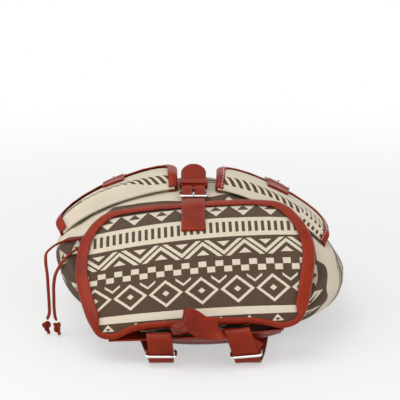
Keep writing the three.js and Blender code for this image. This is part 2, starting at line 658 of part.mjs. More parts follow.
// Strap, buckle and keeper. seat(s) is the point on the bag under the strap's middle, s past the back bar.
// lead lists the strap's stations before the buckle, already lifted clear of what they lie on.
function closure(name, seat, side, lead) {
  const probe = 6;
  const origin = seat(0);
  const travel = seat(probe).sub(seat(-probe)).normalize();
  const across = side.clone().addScaledVector(travel, -side.dot(travel)).normalize();
  const out = across.clone().cross(travel);
  const frame = new THREE.Matrix4().makeBasis(across, travel, out).setPosition(origin);
  const back = frame.clone().invert();
  const table = range(25).map((k) => {
    const local = seat(-BAR_SPACING * 1.4 + k * 4).applyMatrix4(back);
    return [local.y, local.z];
  });
  const ground = (s) => along(table, s);
  const station = (s, h) => ({ centre: vec(0, s, h).applyMatrix4(frame), across });

  // The tab: sewn down, folded round the back bar and sewn again past the keeper
  const fold = range(9).map((k) => {
    const angle = -Math.PI / 2 - (k / 8) * Math.PI;
    return station(FOLD_RADIUS * Math.cos(angle), BAR_HEIGHT + FOLD_RADIUS * Math.sin(angle));
  });
  const lower = CLEARANCE + LEATHER / 2;
  const keeperEnd = KEEPER_FROM_BAR + KEEPER_WIDTH;
  const under = [1, 0.8, 0.6, 0.4, 0.2].map((f) => station(f * TAB_LENGTH, ground(f * TAB_LENGTH) + lower));
  const settled = keeperEnd + 6;
  const leaf = [
    station(KEEPER_FROM_BAR - 2, ground(KEEPER_FROM_BAR - 2) + LEAF_OVER_LEG),
    station(KEEPER_FROM_BAR + KEEPER_WIDTH / 2, ground(KEEPER_FROM_BAR + KEEPER_WIDTH / 2) + LEAF_OVER_LEG),
    station(keeperEnd + 1, ground(keeperEnd + 1) + LEAF_OVER_LEG),
    station(settled, ground(settled) + lower + LEATHER + CLEARANCE),
    station(TAB_LENGTH - 1, ground(TAB_LENGTH - 1) + lower + LEATHER + CLEARANCE),
  ];
  const slotHalf = PRONG_WIDTH / 2 + 1;
  const hubReach = WIRE / 2 + CLEARANCE + PRONG_HUB_WALL + 1.6;
  const tab = ribbon([...under, ...fold, ...leaf], STRAP_WIDTH, LEATHER);
  const hubRoom = boxIn(frame, [-slotHalf, slotHalf], [-hubReach - 2, hubReach], [-3, BAR_HEIGHT + hubReach]);
  piece(`${name}_buckle_tab`, cut(tab, [hubRoom]), leather());

  // Frame: its back bar lies in the fold, its front bar crosses over the strap
  const tilt = vec(0, -BAR_SPACING, FRONT_BAR - BAR_HEIGHT).normalize();
  const spacing = Math.hypot(BAR_SPACING, FRONT_BAR - BAR_HEIGHT);
  const middle = vec(0, -BAR_SPACING / 2, (FRONT_BAR + BAR_HEIGHT) / 2).applyMatrix4(frame);
  const long = tilt.clone().transformDirection(frame);
  const frameWidth = STRAP_WIDTH + 2 * FRAME_SIDE_ROOM + WIRE;
  piece(`${name}_buckle_frame`, wireLoop(middle, across, long, frameWidth, spacing, 2, WIRE), metal());

  // Prong: a hub round the back bar and a tongue that rests on the front bar
  const hubShape = new THREE.Shape();
  const hubOuter = WIRE / 2 + CLEARANCE + PRONG_HUB_WALL;
  hubShape.absarc(0, 0, hubOuter, 0, 2 * Math.PI);
  const eye = new THREE.Path();
  eye.absarc(0, 0, WIRE / 2 + CLEARANCE, 0, 2 * Math.PI, true);
  hubShape.holes.push(eye);
  const hub = new THREE.ExtrudeGeometry(hubShape, { depth: PRONG_WIDTH, bevelEnabled: false, curveSegments: 6 });
  hub.rotateY(Math.PI / 2);
  hub.rotateX(Math.PI / 2);
  hub.translate(-PRONG_WIDTH / 2, 0, BAR_HEIGHT);
  hub.applyMatrix4(frame);
  const tongueRise = FRONT_BAR + WIRE / 2 + CLEARANCE + PRONG_WIDTH / 2;
  const tongue = ribbon([
    station(-hubOuter * 0.75, BAR_HEIGHT + hubOuter * 0.35),
    station(-BAR_SPACING * 0.62, lerp(BAR_HEIGHT + hubOuter * 0.35, tongueRise, 0.66)),
    station(-BAR_SPACING + 1, tongueRise + 0.2),
    station(-BAR_SPACING - WIRE * 0.7, tongueRise),
  ], PRONG_WIDTH, PRONG_WIDTH);
  piece(`${name}_prong`, join(hub, tongue), metal());

  // Strap: from its lead over the back bar, through the keeper to its tip
  const tipAt = keeperEnd + TIP_PAST_KEEPER;
  const knots = [
    ...lead,
    station(-BAR_SPACING - 1, STRAP_AT_FRONT),
    station(-BAR_SPACING * 0.8, STRAP_AT_FRONT),
    station(-BAR_SPACING * 0.35, lerp(STRAP_AT_FRONT, STRAP_OVER_BAR, 0.65)),
    station(0, STRAP_OVER_BAR),
    station(KEEPER_FROM_BAR, ground(KEEPER_FROM_BAR) + STRAP_AT_KEEPER),
    station(keeperEnd, ground(keeperEnd) + STRAP_AT_KEEPER),
    station(tipAt, TIP_HEIGHT),
  ];
  const tongueCross = -BAR_SPACING * 0.5;
  const prongSlot = 4 * HOLE_RADIUS + PRONG_LIFT_ROOM * 2;
  const prongHole = slotIn(frame, tongueCross, STRAP_AT_FRONT + 1, HOLE_RADIUS, prongSlot);
  const spareHoles = [1, 2].map((k) => {
    return slotIn(frame, tongueCross + k * HOLE_PITCH, STRAP_OVER_BAR, HOLE_RADIUS, 0);
  });
  const strap = ribbon(roundTip(smoothStations(knots, 36), STRAP_WIDTH, STRAP_WIDTH + 3), STRAP_WIDTH, STRAP);
  piece(`${name}_strap`, cut(strap, [prongHole, ...spareHoles]), leather());

  // Keeper: a flat loop round the strap and the tab's upper leaf
  const [near, far] = [KEEPER_FROM_BAR, keeperEnd].map((s) => station(s, ground(s)).centre);
  const keeperLine = far.clone().sub(near).normalize();
  const keeperOut = across.clone().cross(keeperLine);
  const keeperFrame = new THREE.Matrix4().makeBasis(across, keeperLine, keeperOut).setPosition(near);
  const room = (STRAP_WIDTH + 3) / 2 + CLEARANCE;
  const legTop = KEEPER_LEG + KEEPER_WALL / 2;
  const roof = STRAP_AT_KEEPER + STRAP / 2 + 3 * CLEARANCE;
  const wall = [-room - KEEPER_WALL, room + KEEPER_WALL];
  const outside = boxIn(keeperFrame, wall, [0, KEEPER_WIDTH], [legTop - KEEPER_WALL, roof + KEEPER_WALL]);
  const hollow = boxIn(keeperFrame, [-room, room], [-1, KEEPER_WIDTH + 1], [legTop, roof]);
  piece(`${name}_keeper`, cut(outside, [hollow]), leather());
}

// Lid strap: sewn to the lid, buckled to a tab on the front panel
const LID_STRAP_SEWN = 55;
const LID_STRAP_START = LID_LENGTH - LID_STRAP_SEWN;
const CLOSURE_X = -3;
const LID_BEFORE_MOUTH = 119;
const LID_BUCKLE_RUN = LID_LENGTH - LID_BEFORE_MOUTH;

function lidStation(v, lift) {
  const z = along(lidZ, v) - LID_HINGE[1];
  const roll = radians(LID_ROLL);
  const u = (CLOSURE_X + z * Math.sin(roll)) / Math.cos(roll);
  return { centre: lidPoint(u, v, lift), across: vec(Math.cos(roll), 0, Math.sin(roll)) };
}
const onLid = CLEARANCE + STRAP / 2;
const onLidBinding = onLid + BINDING_ROOM + TRIM;
const lidLead = [
  lidStation(LID_STRAP_START, onLid),
  lidStation(lerp(LID_STRAP_START, LID_LENGTH - BINDING_WIDTH, 0.35), onLid),
  lidStation(lerp(LID_STRAP_START, LID_LENGTH - BINDING_WIDTH, 0.75), onLid + 0.3),
  lidStation(LID_LENGTH - BINDING_WIDTH, onLidBinding + 0.3),
  lidStation(LID_LENGTH - 1, onLidBinding + 0.3),
];
const lidSeat = (s) => frontSkin(LID_BUCKLE_RUN + s, CLOSURE_X, 0);
closure('lid', lidSeat, vec(1, 0, 0), lidLead);

// Front pockets: a pouch sewn down on three sides, open towards the mouth, under a bound flap
const POCKET_MIDDLE = POCKET_INNER + POCKET_WIDTH / 2;
const FLAP_START = POCKET_START - FLAP_HINGE_RUN;
const POUCH_ROWS = [0, 0.09, 0.18, 0.27, 0.36, 0.45, 0.54, 0.63, 0.71, 0.78, 0.85, 0.9, 0.95, 1];
const POCKET_STRAP_STEPS = [13, 7, 1];

function pouchRoom(w, s) {
  const side = smooth((POCKET_WIDTH / 2 - POCKET_SEAM - Math.abs(w)) / POCKET_EDGE_RISE);
  const foot = smooth((POCKET_LENGTH - POCKET_SEAM - s) / POCKET_FOOT_RISE);
  return CLEARANCE + POCKET_DEPTH * side * foot;
}

function flapUnderside(w, s) {
  const stand = 2 * CLEARANCE + TRIM + BINDING_ROOM;
  const half = POCKET_WIDTH / 2 + FLAP_OVERHANG;
  const ramp = smooth((s + FLAP_HINGE_RUN) / FLAP_HINGE_RUN);
  const foot = smooth((POCKET_LENGTH - POCKET_SEAM - s) / POCKET_FOOT_RISE);
  const edge = 1 - FLAP_SIDE_DROP * Math.abs(w / half) ** 4;
  return stand + (CLEARANCE + CANVAS + POCKET_DEPTH * foot) * ramp * edge;
}

// Three free sides of the flap, from one end of its hinge to the other, with round corners
function flapOutline(inset) {
  const half = POCKET_WIDTH / 2 + FLAP_OVERHANG - inset;
  const length = FLAP_LENGTH - inset;
  const radius = FLAP_CORNER - inset;
  const sideSteps = range(8).map((k) => [-half, (k / 8) ** ROW_SPREAD * (length - radius)]);
  const arc = range(6).map((k) => {
    const angle = Math.PI - (k / 5) * (Math.PI / 2);
    return [-half + radius + radius * Math.cos(angle), length - radius + radius * Math.sin(angle)];
  });
  const front = range(8).slice(1).map((k) => [lerp(-half + radius, 0, k / 7), length]);
  const leftHalf = [...sideSteps, ...arc, ...front];
  const rightHalf = leftHalf.slice(0, -1).reverse().map(([x, y]) => [-x, y]);
  return [...leftHalf, ...rightHalf];
}

function pocket(name, side) {
  const aside = (w) => side * (POCKET_MIDDLE + w);
  const pouchRow = (s, off) => range(17).map((c) => {
    const w = lerp(-POCKET_WIDTH / 2, POCKET_WIDTH / 2, c / 16);
    return frontSkin(POCKET_START + s, aside(w), pouchRoom(w, s) + off);
  });
  const rows = POUCH_ROWS.map((share) => share * POCKET_LENGTH);
  const pouch = sheet(rows.map((s) => pouchRow(s, CANVAS)), rows.map((s) => pouchRow(s, 0)));
  piece(`${name}_pocket`, pouch, canvas());

  const flapPlace = (w, s, off) => {
    const lift = flapUnderside(w, s - FLAP_HINGE_RUN) + CANVAS + off;
    return frontSkin(FLAP_START + s, aside(w), lift);
  };
  piece(`${name}_flap`, laidCloth(flapOutline(EDGE_ROOM), flapPlace, 12, 18), canvas());
  piece(`${name}_flap_binding`, binding(flapOutline(0), FLAP_BINDING_WIDTH, flapPlace, false), leather());

  const barRun = FLAP_START + FLAP_LENGTH + FLAP_TO_BAR;
  const seat = (s) => {
    const lift = pouchRoom(0, barRun + s - POCKET_START) + CANVAS + SEAT_ROOM;
    return frontSkin(barRun + s, aside(0), lift);
  };
  const middle = side * POCKET_MIDDLE;
  const cross = frontSkin(barRun, middle + 4, 0).sub(frontSkin(barRun, middle - 4, 0));
  const onFlap = CLEARANCE + STRAP / 2 + SEAT_ROOM;
  const bindingStart = FLAP_LENGTH - FLAP_BINDING_WIDTH;
  const steps = POCKET_STRAP_STEPS.map((step) => bindingStart - step);
  const runs = [POCKET_STRAP_START, ...steps, FLAP_LENGTH - 1];
  const lead = runs.map((s) => {
    const lift = onFlap + (s > bindingStart - 5 ? BINDING_ROOM + TRIM : 0);
    const tilt = flapPlace(4 * side, s, 0).sub(flapPlace(-4 * side, s, 0)).normalize();
    return { centre: flapPlace(0, s, lift), across: tilt };
  });
  closure(`${name}_pocket`, seat, cross.normalize(), lead);
}
pocket('left', -1);
pocket('right', 1);

// Sheet of even thickness about a grid of middle points
function thicken(grid, thickness) {
  const rows = grid.length;
  const columns = grid[0].length;
  const at = (r, c) => grid[clamp(r, 0, rows - 1)][clamp(c, 0, columns - 1)];
  const face = (off) => grid.map((row, r) => row.map((point, c) => {
    const down = at(r + 1, c).clone().sub(at(r - 1, c));
    const round = at(r, c + 1).clone().sub(at(r, c - 1));
    return point.clone().addScaledVector(down.cross(round).normalize(), off);
  }));
  return sheet(face(thickness / 2), face(-thickness / 2));
}

// Yoke: leather across the top of the back, from the lid's hinge edge down over the back panel
const yokeColumns = range(19).map((c) => lerp(-YOKE_HALF_WIDTH, YOKE_HALF_WIDTH, c / 18));
const yokeTop = yokeColumns.map((u) => lidPoint(u, 2 + 0.4 * smooth((Math.abs(u) - 60) / 26), -CANVAS / 2));
const yokeBack = YOKE_RUNS.map((run, k) => {
  const lift = 2 * CLEARANCE + LEATHER / 2 + (k === 0 ? CLEARANCE : 0);
  return yokeColumns.map((aside) => backSkin(run, aside, lift));
});
const yokeFold = yokeTop.map((point, c) => point.clone().lerp(yokeBack[0][c], 0.5).add(vec(0, -0.5, -1.5)));
piece('back_yoke', thicken([yokeTop, yokeFold, ...yokeBack], LEATHER), leather());

// Corner tabs that take the lower ends of the shoulder straps
const BACK_LENGTH = BACK_LINE[BACK_LINE.length - 1][0];
function cornerTab(side) {
  const reach = CORNER_TAB_SIZE / 2;
  const grid = range(6).map((r) => range(6).map((c) => {
    const run = BACK_LENGTH - CORNER_TAB_FROM_BASE + lerp(-reach, reach, r / 5);
    return backSkin(run, side * CORNER_TAB_ASIDE + lerp(-reach, reach, c / 5), CLEARANCE + LEATHER / 2);
  }));
  return thicken(grid, LEATHER);
}
piece('left_corner_tab', cornerTab(-1), leather());
piece('right_corner_tab', cornerTab(1), leather());

// Stations from rows of a centre and the direction across
function listed(rows) {
  return rows.map(([x, y, z, ax, ay, az]) => ({ centre: vec(x, y, z), across: vec(ax, ay, az).normalize() }));
}

// Shoulder straps: from the yoke out under the lid, down behind it, and flat beneath the bag to the corners
function strapEnd(side) {
  return [26, 14].map((fromTab) => {
    const run = BACK_LENGTH - CORNER_TAB_FROM_BASE - fromTab + 12;
    const lift = CLEARANCE + LEATHER + 2 * CLEARANCE + STRAP / 2;
    const [here, near, far] = [0, -4, 4].map((w) => backSkin(run, side * CORNER_TAB_ASIDE + w, lift));
    return { centre: here, across: far.sub(near).normalize() };
  });
}

const FLOOR_LAYER = STRAP / 2;
const leftStrap = [
  ...listed([
    [-39.5, -174.5, 28.8, 1, 0, 0.07], [-39.5, -181, 31, 1, 0, 0.07], [-39.3, -188, 34.6, 1, 0, 0.05],
    [-39, -194, 35.6, 1, 0, 0], [-38.2, -197.8, 31.5, 1, 0, 0], [-37.2, -197.2, 23, 1, 0, 0],
    [-36.5, -194.4, 14, 1, 0, 0], [-36.3, -190, 5.5, 1, 0, 0], [-37, -178, FLOOR_LAYER, 1, 0.06, 0],
    [-42, -150, FLOOR_LAYER, 1, 0.18, 0], [-56, -70, FLOOR_LAYER, 1, 0.18, 0],
    [-72, 20, FLOOR_LAYER, 1, 0.18, 0], [-84, 96, FLOOR_LAYER, 1, 0.12, 0],
  ]),
  ...strapEnd(-1),
];
const rightStrap = [
  ...listed([
    [40.1, -174.5, 32, 1, 0, 0.07], [40.4, -181, 35, 1, 0, 0.07], [41.6, -188, 39.4, 1, 0, 0.07],
    [42.4, -194, 40, 1, 0, 0.1], [45, -198.2, 34, 1, 0, 0.16], [48.4, -197.4, 24, 1, 0, 0.16],
    [51.5, -194.4, 14, 1, 0, 0.12], [54, -190, 5.6, 1, 0, 0.04], [56, -178, FLOOR_LAYER, 1, -0.08, 0],
    [61, -150, FLOOR_LAYER, 1, -0.15, 0], [70, -70, FLOOR_LAYER, 1, -0.12, 0],
    [79, 20, FLOOR_LAYER, 1, -0.1, 0], [86, 96, FLOOR_LAYER, 1, -0.08, 0],
  ]),
  ...strapEnd(1),
];
function shoulderStrap(stations) {
  const line = smoothStations(stations, 44);
  for (const { centre } of line) centre.z = Math.max(centre.z, FLOOR_LAYER);
  return ribbon(line, STRAP_WIDTH, STRAP);
}
piece('left_shoulder_strap', shoulderStrap(leftStrap), leather());
piece('right_shoulder_strap', shoulderStrap(rightStrap), leather());

// Slides: wire loops that hold the spare end of each strap against it
const leftTail = listed([
  [-36.5, -189.8, 10.4, 1, 0, 0], [-36.5, -191.7, 15.1, 1, 0, 0],
  [-37, -193.3, 21, 1, 0, 0], [-37.6, -193.8, 28, 1, 0, 0],
]);
const rightTail = listed([
  [51.6, -189.7, 10.6, 1, 0, 0.12], [51.4, -191.3, 15.2, 1, 0, 0.12], [52, -192.4, 19.4, 1, 0, 0.06],
  [55, -192.8, 25, 1, 0, -0.1], [59.4, -193.1, 32, 1, 0, -0.2],
]);
const SLIDE_PLANE = vec(0, 0.925, 0.38);
const SLIDE_SIDE_ROOM = 1;
function slide(x, y, z, across) {
  const inner = 2 * STRAP + 6 * CLEARANCE;
  const wide = STRAP_WIDTH + 2 * SLIDE_SIDE_ROOM + SLIDE_WIRE;
  return wireLoop(vec(x, y, z), across.normalize(), SLIDE_PLANE, wide, inner + SLIDE_WIRE, 2, SLIDE_WIRE);
}
piece('left_strap_slide', slide(-36.5, -193.1, 14.6, vec(1, 0, 0)), metal());
piece('right_strap_slide', slide(52, -193.2, 14.7, vec(1, -0.04, 0.1)), metal());
piece('left_strap_tail', ribbon(smoothStations(leftTail, 10), STRAP_WIDTH, STRAP), leather());
piece('right_strap_tail', ribbon(smoothStations(rightTail, 12), STRAP_WIDTH - 2, STRAP), leather());

// Grab handle: one strip, both ends on the yoke, lying over to one side
const handle = listed([
  [-12.4, -172, 30, 1, 0, 0.07], [-12.5, -181, 32.8, 1, 0, 0.07], [-12.6, -190.6, 38.4, 0.95, 0, 0.3],
  [-15.4, -203, 54, 0.69, 0, 0.73], [-6, -209, 57, 0.45, 0, 0.9], [6, -211, 50, 0.2, 0, 0.98],
  [19, -211, 48.6, -0.1, 0, 1], [23.4, -205, 45.6, -0.5, 0.1, 0.82], [17, -193, 40.4, -0.97, 0, 0.1],
  [12.8, -181, 34.6, -1, 0, -0.07], [12.6, -172, 31.6, -1, 0, -0.07],
]);
piece('grab_handle', ribbon(smoothStations(handle, 40), HANDLE_WIDTH, STRAP), leather());

// Laces
function laceTail(points) {
  const path = new THREE.CatmullRomCurve3(points.map(([x, y, z]) => vec(x, y, z)), false, 'centripetal');
  const round = new THREE.Shape();
  round.absarc(0, 0, LACE_THICKNESS / 2, 0, 2 * Math.PI);
  return new THREE.ExtrudeGeometry(round, { steps: 64, extrudePath: path, bevelEnabled: false, curveSegments: 4 });
}

function knot(x, y, z) {
  const ball = new THREE.SphereGeometry(0.5, 10, 8);
  ball.scale(KNOT_WIDTH, KNOT_WIDTH * 0.85, KNOT_LENGTH);
  ball.translate(x, y, z);
  return ball;
}

const upperLace = [
  [-29, -131.8, 83.1], [-44, -124, 89.5], [-60, -116.1, 95], [-76, -106, 101], [-92, -94.6, 106.2],
  [-109.8, -81, 110.2], [-118, -80.4, 108.2], [-129, -77.4, 107.1], [-140.7, -72.6, 103.9],
  [-148.6, -71.6, 102.2], [-155, -77, 100.6], [-161.3, -85.5, 97.6], [-165, -92, 94], [-165.4, -94, 85],
  [-164, -94.5, 70.7], [-163.4, -94.5, 53.4], [-162.8, -94.5, 36], [-163, -94.5, 26], [-165.5, -95, 19.4],
];
const lowerLace = [
  [-28.5, -135.4, 79.7], [-44, -129, 86], [-60, -121, 91.4], [-76, -111.4, 96.6], [-92, -101, 101.6],
  [-109, -87.6, 107.2], [-117.2, -88.2, 104.6], [-124.8, -90, 101.8], [-132.4, -92, 98.6],
  [-139.4, -94.3, 93.8], [-145, -95.2, 88], [-150.6, -95.6, 80], [-155, -95.8, 70.9], [-157, -96, 59.2],
  [-157.2, -96.4, 45.3], [-157.2, -96.6, 32.5], [-156.4, -96.4, 23], [-155.2, -96, 18.4],
];
piece('upper_lace', laceTail(upperLace), leather());
piece('lower_lace', laceTail(lowerLace), leather());
piece('upper_lace_knot', knot(-166.4, -95, 11.9), leather());
piece('lower_lace_knot', knot(-154.6, -96, 11), leather());

// The bag lies with the middle of its footprint on the origin; the hanging laces are left out of the measure
const backpack = new THREE.Group();
const footprint = new THREE.Box3();
const hanging = ['upper_lace', 'lower_lace'];
for (const [name, mesh] of pieces) {
  backpack.add(mesh);
  mesh.updateMatrixWorld(true);
  if (!hanging.includes(name)) footprint.expandByObject(mesh, true);
}
const centre = footprint.getCenter(vec(0, 0, 0));
backpack.position.set(-centre.x, -centre.y, -footprint.min.z);
backpack.name = 'backpack';
export default backpack;
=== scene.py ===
# %% [markdown]
# # A printed canvas backpack, step by step
# The bag is soft canvas with a brown and cream print, trimmed with glossy red-brown leather and closed with
# three wire buckles. It lies on its back with the lid towards us. The solids for physics are already packed,
# so this file loads them as a fixed frame and dresses them. It could be sculpted freehand, but then nothing
# would meet the solids, so every piece here is set out from the same sizes as they are.

import math

import bpy
import numpy as np
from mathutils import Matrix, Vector


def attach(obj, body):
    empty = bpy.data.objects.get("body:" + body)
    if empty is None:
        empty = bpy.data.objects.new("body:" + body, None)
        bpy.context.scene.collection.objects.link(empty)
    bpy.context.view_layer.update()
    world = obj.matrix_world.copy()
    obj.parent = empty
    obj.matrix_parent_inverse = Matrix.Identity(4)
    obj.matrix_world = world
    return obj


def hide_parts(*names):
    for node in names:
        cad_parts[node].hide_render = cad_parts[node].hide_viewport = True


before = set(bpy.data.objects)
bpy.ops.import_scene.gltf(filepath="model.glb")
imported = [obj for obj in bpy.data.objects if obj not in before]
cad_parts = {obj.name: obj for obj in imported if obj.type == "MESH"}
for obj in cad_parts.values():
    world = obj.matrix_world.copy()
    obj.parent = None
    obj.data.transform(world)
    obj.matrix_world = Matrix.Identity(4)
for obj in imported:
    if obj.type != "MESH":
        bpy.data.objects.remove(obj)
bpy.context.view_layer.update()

# %% [markdown]
# ## Arithmetic that wires nodes
# The finishes of this bag are formulas, and the print alone has hundreds of Math nodes. Wiring them by hand is
# slow to read, so a small class lets them be written as ordinary arithmetic, where each sign adds one node.


# %% A node and a range
def add_node(tree, kind, **values):
    node = tree.nodes.new(kind)
    for name, value in values.items():
        node.inputs[name].default_value = value
    return node


def ranged(tree, value, from_min=0.0, from_max=1.0, to_min=0.0, to_max=1.0):
    limits = {"From Min": from_min, "From Max": from_max, "To Min": to_min, "To Max": to_max}
    node = add_node(tree, "ShaderNodeMapRange", **limits)
    tree.links.new(value, node.inputs["Value"])
    return node.outputs["Result"]


# %% A number at each point
class Term:
    """A number at each point of the cloth. Arithmetic on it adds Math nodes to its material."""

    def __init__(self, tree, socket):
        self.tree, self.socket = tree, socket

    def make(self, operation, *others):
        node = self.tree.nodes.new("ShaderNodeMath")
        node.operation = operation
        for slot, value in zip(node.inputs, (self, *others)):
            if isinstance(value, Term):
                self.tree.links.new(value.socket, slot)
            else:
                slot.default_value = value
        return Term(self.tree, node.outputs[0])

    def __add__(self, other):
        return self.make("ADD", other)

    def __sub__(self, other):
        return self.make("SUBTRACT", other)

    def __mul__(self, other):
        return self.make("MULTIPLY", other)

    def __abs__(self):
        return self.make("ABSOLUTE")

    def __lt__(self, other):
        return self.make("LESS_THAN", other)

    def __gt__(self, other):
        return self.make("GREATER_THAN", other)

    def __and__(self, other):
        return self.make("MULTIPLY", other)

    def __or__(self, other):
        return self.make("MAXIMUM", other)

    def without(self, other):
        return self & (other < 0.5)

    def repeat(self, pitch, phase=0.0):
        """Distance from the nearest of a row of centres."""
        return (self - phase).make("WRAP", pitch / 2, -pitch / 2)

    def between(self, low, high):
        return (self > low) & (self < high)


print("arithmetic signs ready:", sum(name.startswith("__") for name in vars(Term)))

# %% [markdown]
# ## Camera
# The photograph was taken from in front of the lid and a little above it, with a long lens. Its distance and
# focal length were settled by laying the bag's outline over the picture.

# %% Camera
CAMERA_PLACE = (0.00133, -1.53586, 0.50903)
LOOKS_DOWN, TURNED = math.radians(13.67), math.radians(-0.166)
bpy.ops.object.camera_add(location=CAMERA_PLACE)
camera = bpy.context.object
camera.rotation_euler = (math.pi / 2 - LOOKS_DOWN, 0, TURNED)
camera.data.lens = 123.85
camera.data.sensor_width = 36
bpy.context.scene.camera = camera
print("lens", camera.data.lens, "mm")

# %% [markdown]
# ## Floor and light
# The light is a product photographer's: a big soft lamp overhead and weaker ones from the front and the left,
# over a plain pale floor that fades into white. Hard lamps would show the leather's gloss more, but the picture
# has only broad, pale highlights.


# %% A floor that fades into white
def plain_material(name, colour, roughness):
    material = bpy.data.materials.new(name)
    material.use_nodes = True
    shader = material.node_tree.nodes["Principled BSDF"]
    shader.inputs["Base Color"].default_value = (*colour, 1)
    shader.inputs["Roughness"].default_value = roughness
    return material


def seen_directly(tree):
    """1 for what the camera, a reflection or glass shows, 0 for the light that falls on the bag."""
    rays = tree.nodes.new("ShaderNodeLightPath").outputs
    camera_ray, glossy_ray, glass_ray = (Term(tree, rays[f"Is {kind} Ray"])
                                         for kind in ("Camera", "Glossy", "Transmission"))
    return camera_ray | glossy_ray | glass_ray


floor_finish = plain_material("pale_floor", (0.88, 0.88, 0.875), 0.6)
tree = floor_finish.node_tree
place = tree.nodes.new("ShaderNodeTexCoord")
away = tree.nodes.new("ShaderNodeVectorMath")
away.operation = "LENGTH"
tree.links.new(place.outputs["Object"], away.inputs[0])
fade = ranged(tree, away.outputs["Value"], from_min=0.15, from_max=1.5, to_min=0.5)
fade.node.interpolation_type = "SMOOTHSTEP"
white_share = Term(tree, fade) * seen_directly(tree)
white = tree.nodes.new("ShaderNodeEmission")
both = tree.nodes.new("ShaderNodeMixShader")
for start, end in ((white_share.socket, both.inputs[0]), (tree.nodes["Principled BSDF"].outputs[0], both.inputs[1]),
                   (white.outputs[0], both.inputs[2]),
                   (both.outputs[0], tree.nodes["Material Output"].inputs["Surface"])):
    tree.links.new(start, end)

bpy.ops.object.select_all(action="DESELECT")
bpy.ops.mesh.primitive_plane_add(size=12)
floor = bpy.context.object
floor.name = "studio_floor"
floor.data.materials.append(floor_finish)
print("floor", tuple(floor.dimensions))


# %% Lamps and backdrop
def soft_lamp(name, place, target, size, watts):
    bpy.ops.object.light_add(type="AREA", location=place)
    lamp = bpy.context.object
    lamp.name = name
    lamp.data.shape = "SQUARE"
    lamp.data.size = size
    lamp.data.energy = watts
    lamp.rotation_euler = (Vector(target) - Vector(place)).to_track_quat("-Z", "Y").to_euler()


soft_lamp("overhead_softbox", (-0.5, -0.5, 1.6), (0, 0, 0.05), 1.3, 12)
soft_lamp("front_softbox", (0.9, -1.5, 0.9), (0, -0.1, 0.08), 1.1, 7.5)
soft_lamp("left_softbox", (-1.4, -0.6, 0.5), (0, -0.1, 0.08), 0.8, 3.5)

world = bpy.data.worlds.new("studio")
bpy.context.scene.world = world
world.use_nodes = True
backdrop = world.node_tree.nodes["Background"]
backdrop.inputs["Color"].default_value = (1, 1, 1, 1)
level = ranged(world.node_tree, seen_directly(world.node_tree).socket, to_min=0.5)
world.node_tree.links.new(level, backdrop.inputs["Strength"])
bpy.context.scene.view_settings.view_transform = "Standard"
print("stage is set")

# %% [markdown]
# ## The bag's shape as functions
# A soft bag has no flat faces, so its shape is easiest to hold as a few functions. The body is a row of
# cross-sections from the mouth to the base. Every pocket, tab and strap is placed by an address on it: how far
# along the front, how far round to the side, and how high above the cloth. These sizes are in millimetres and
# become metres when a mesh is made.

# %% Sizes shared with the solids
ORIGIN = np.array([1.329299, 12.367813, 0.009281])
GAP, CANVAS, TRIM, HIDE = 0.3, 2.2, 1.4, 1.8
STRAP_W, STRAP_T, WIRE = 26.0, 2.4, 2.8

# back (y, z), front (y, z), left, right, left waist, right waist, roundness above and below the waist
SECTIONS = np.array([
    (-168, 34, -78, 112, 114, 112, 0.54, 0.45, 1.95, 2.2),
    (-170, 22, -58, 127, 134, 130, 0.60, 0.42, 1.95, 2.1),
    (-150, 12, -30, 140, 148, 149, 0.62, 0.40, 1.72, 2.1),
    (-105, 4.2, 5, 150, 155, 163, 0.61, 0.38, 1.55, 2.3),
    (-50, 3.0, 40, 152, 157, 169, 0.57, 0.38, 1.46, 2.4),
    (10, 3.0, 75, 143, 157, 168, 0.53, 0.39, 1.46, 2.5),
    (80, 3.0, 110, 128, 155, 161, 0.50, 0.42, 1.55, 2.6),
    (140, 5, 150, 111, 149, 152, 0.48, 0.46, 1.80, 2.7),
    (175, 12, 180, 97, 140, 142, 0.48, 0.48, 2.25, 2.8),
    (190, 28, 190, 82, 124, 125, 0.48, 0.48, 2.40, 2.9),
])


print(len(SECTIONS), "cross-sections")


# %% Small helpers for points
def metres(points):
    return (np.asarray(points, float) + ORIGIN) / 1000


def smooth(x):
    x = np.clip(x, 0.0, 1.0)
    return x * x * (3 - 2 * x)


def unit(v):
    return v / np.linalg.norm(v)


def walk(line):
    """How far along a line each of its points lies."""
    return np.concatenate([[0], np.cumsum(np.linalg.norm(np.diff(line, axis=0), axis=1))])


def length_of(line):
    return float(np.linalg.norm(np.diff(line, axis=0), axis=1).sum())


# %% Cross-sections of the body
def section_at(t):
    x = min(max(t, 0.0), 1.0) * (len(SECTIONS) - 1)
    i = min(int(x), len(SECTIONS) - 2)
    f = x - i
    p0, p1, p2, p3 = (SECTIONS[min(max(i + k, 0), len(SECTIONS) - 1)] for k in (-1, 0, 1, 2))
    cubic = (3 * p1 - p0 - 3 * p2 + p3) * f**3
    return 0.5 * (2 * p1 + (p2 - p0) * f + (2 * p0 - 5 * p1 + 4 * p2 - p3) * f**2 + cubic)


def quarter(wide, high, power):
    angle = np.linspace(0, np.pi / 2, 29)
    x = wide * np.abs(np.cos(angle)) ** (2 / power)
    y = high * np.abs(np.sin(angle)) ** (2 / power)
    walked = np.concatenate([[0], np.cumsum(np.hypot(np.diff(x), np.diff(y)))])
    return walked, x, y


known_rings = {}


def ring_at(t):
    key = round(t, 6)
    if key not in known_rings:
        by, bz, fy, fz, left, right, lw, rw, top, base = section_at(t)
        tall = np.hypot(fy - by, fz - bz)
        quarters = [
            quarter(right, (1 - rw) * tall, top),
            quarter(left, (1 - lw) * tall, top),
            quarter(left, lw * tall, base),
            quarter(right, rw * tall, base),
        ]
        rise = np.array([(fy - by) / tall, (fz - bz) / tall])
        known_rings[key] = (np.array([by, bz]), rise, (lw * tall, rw * tall), quarters)
    return known_rings[key]


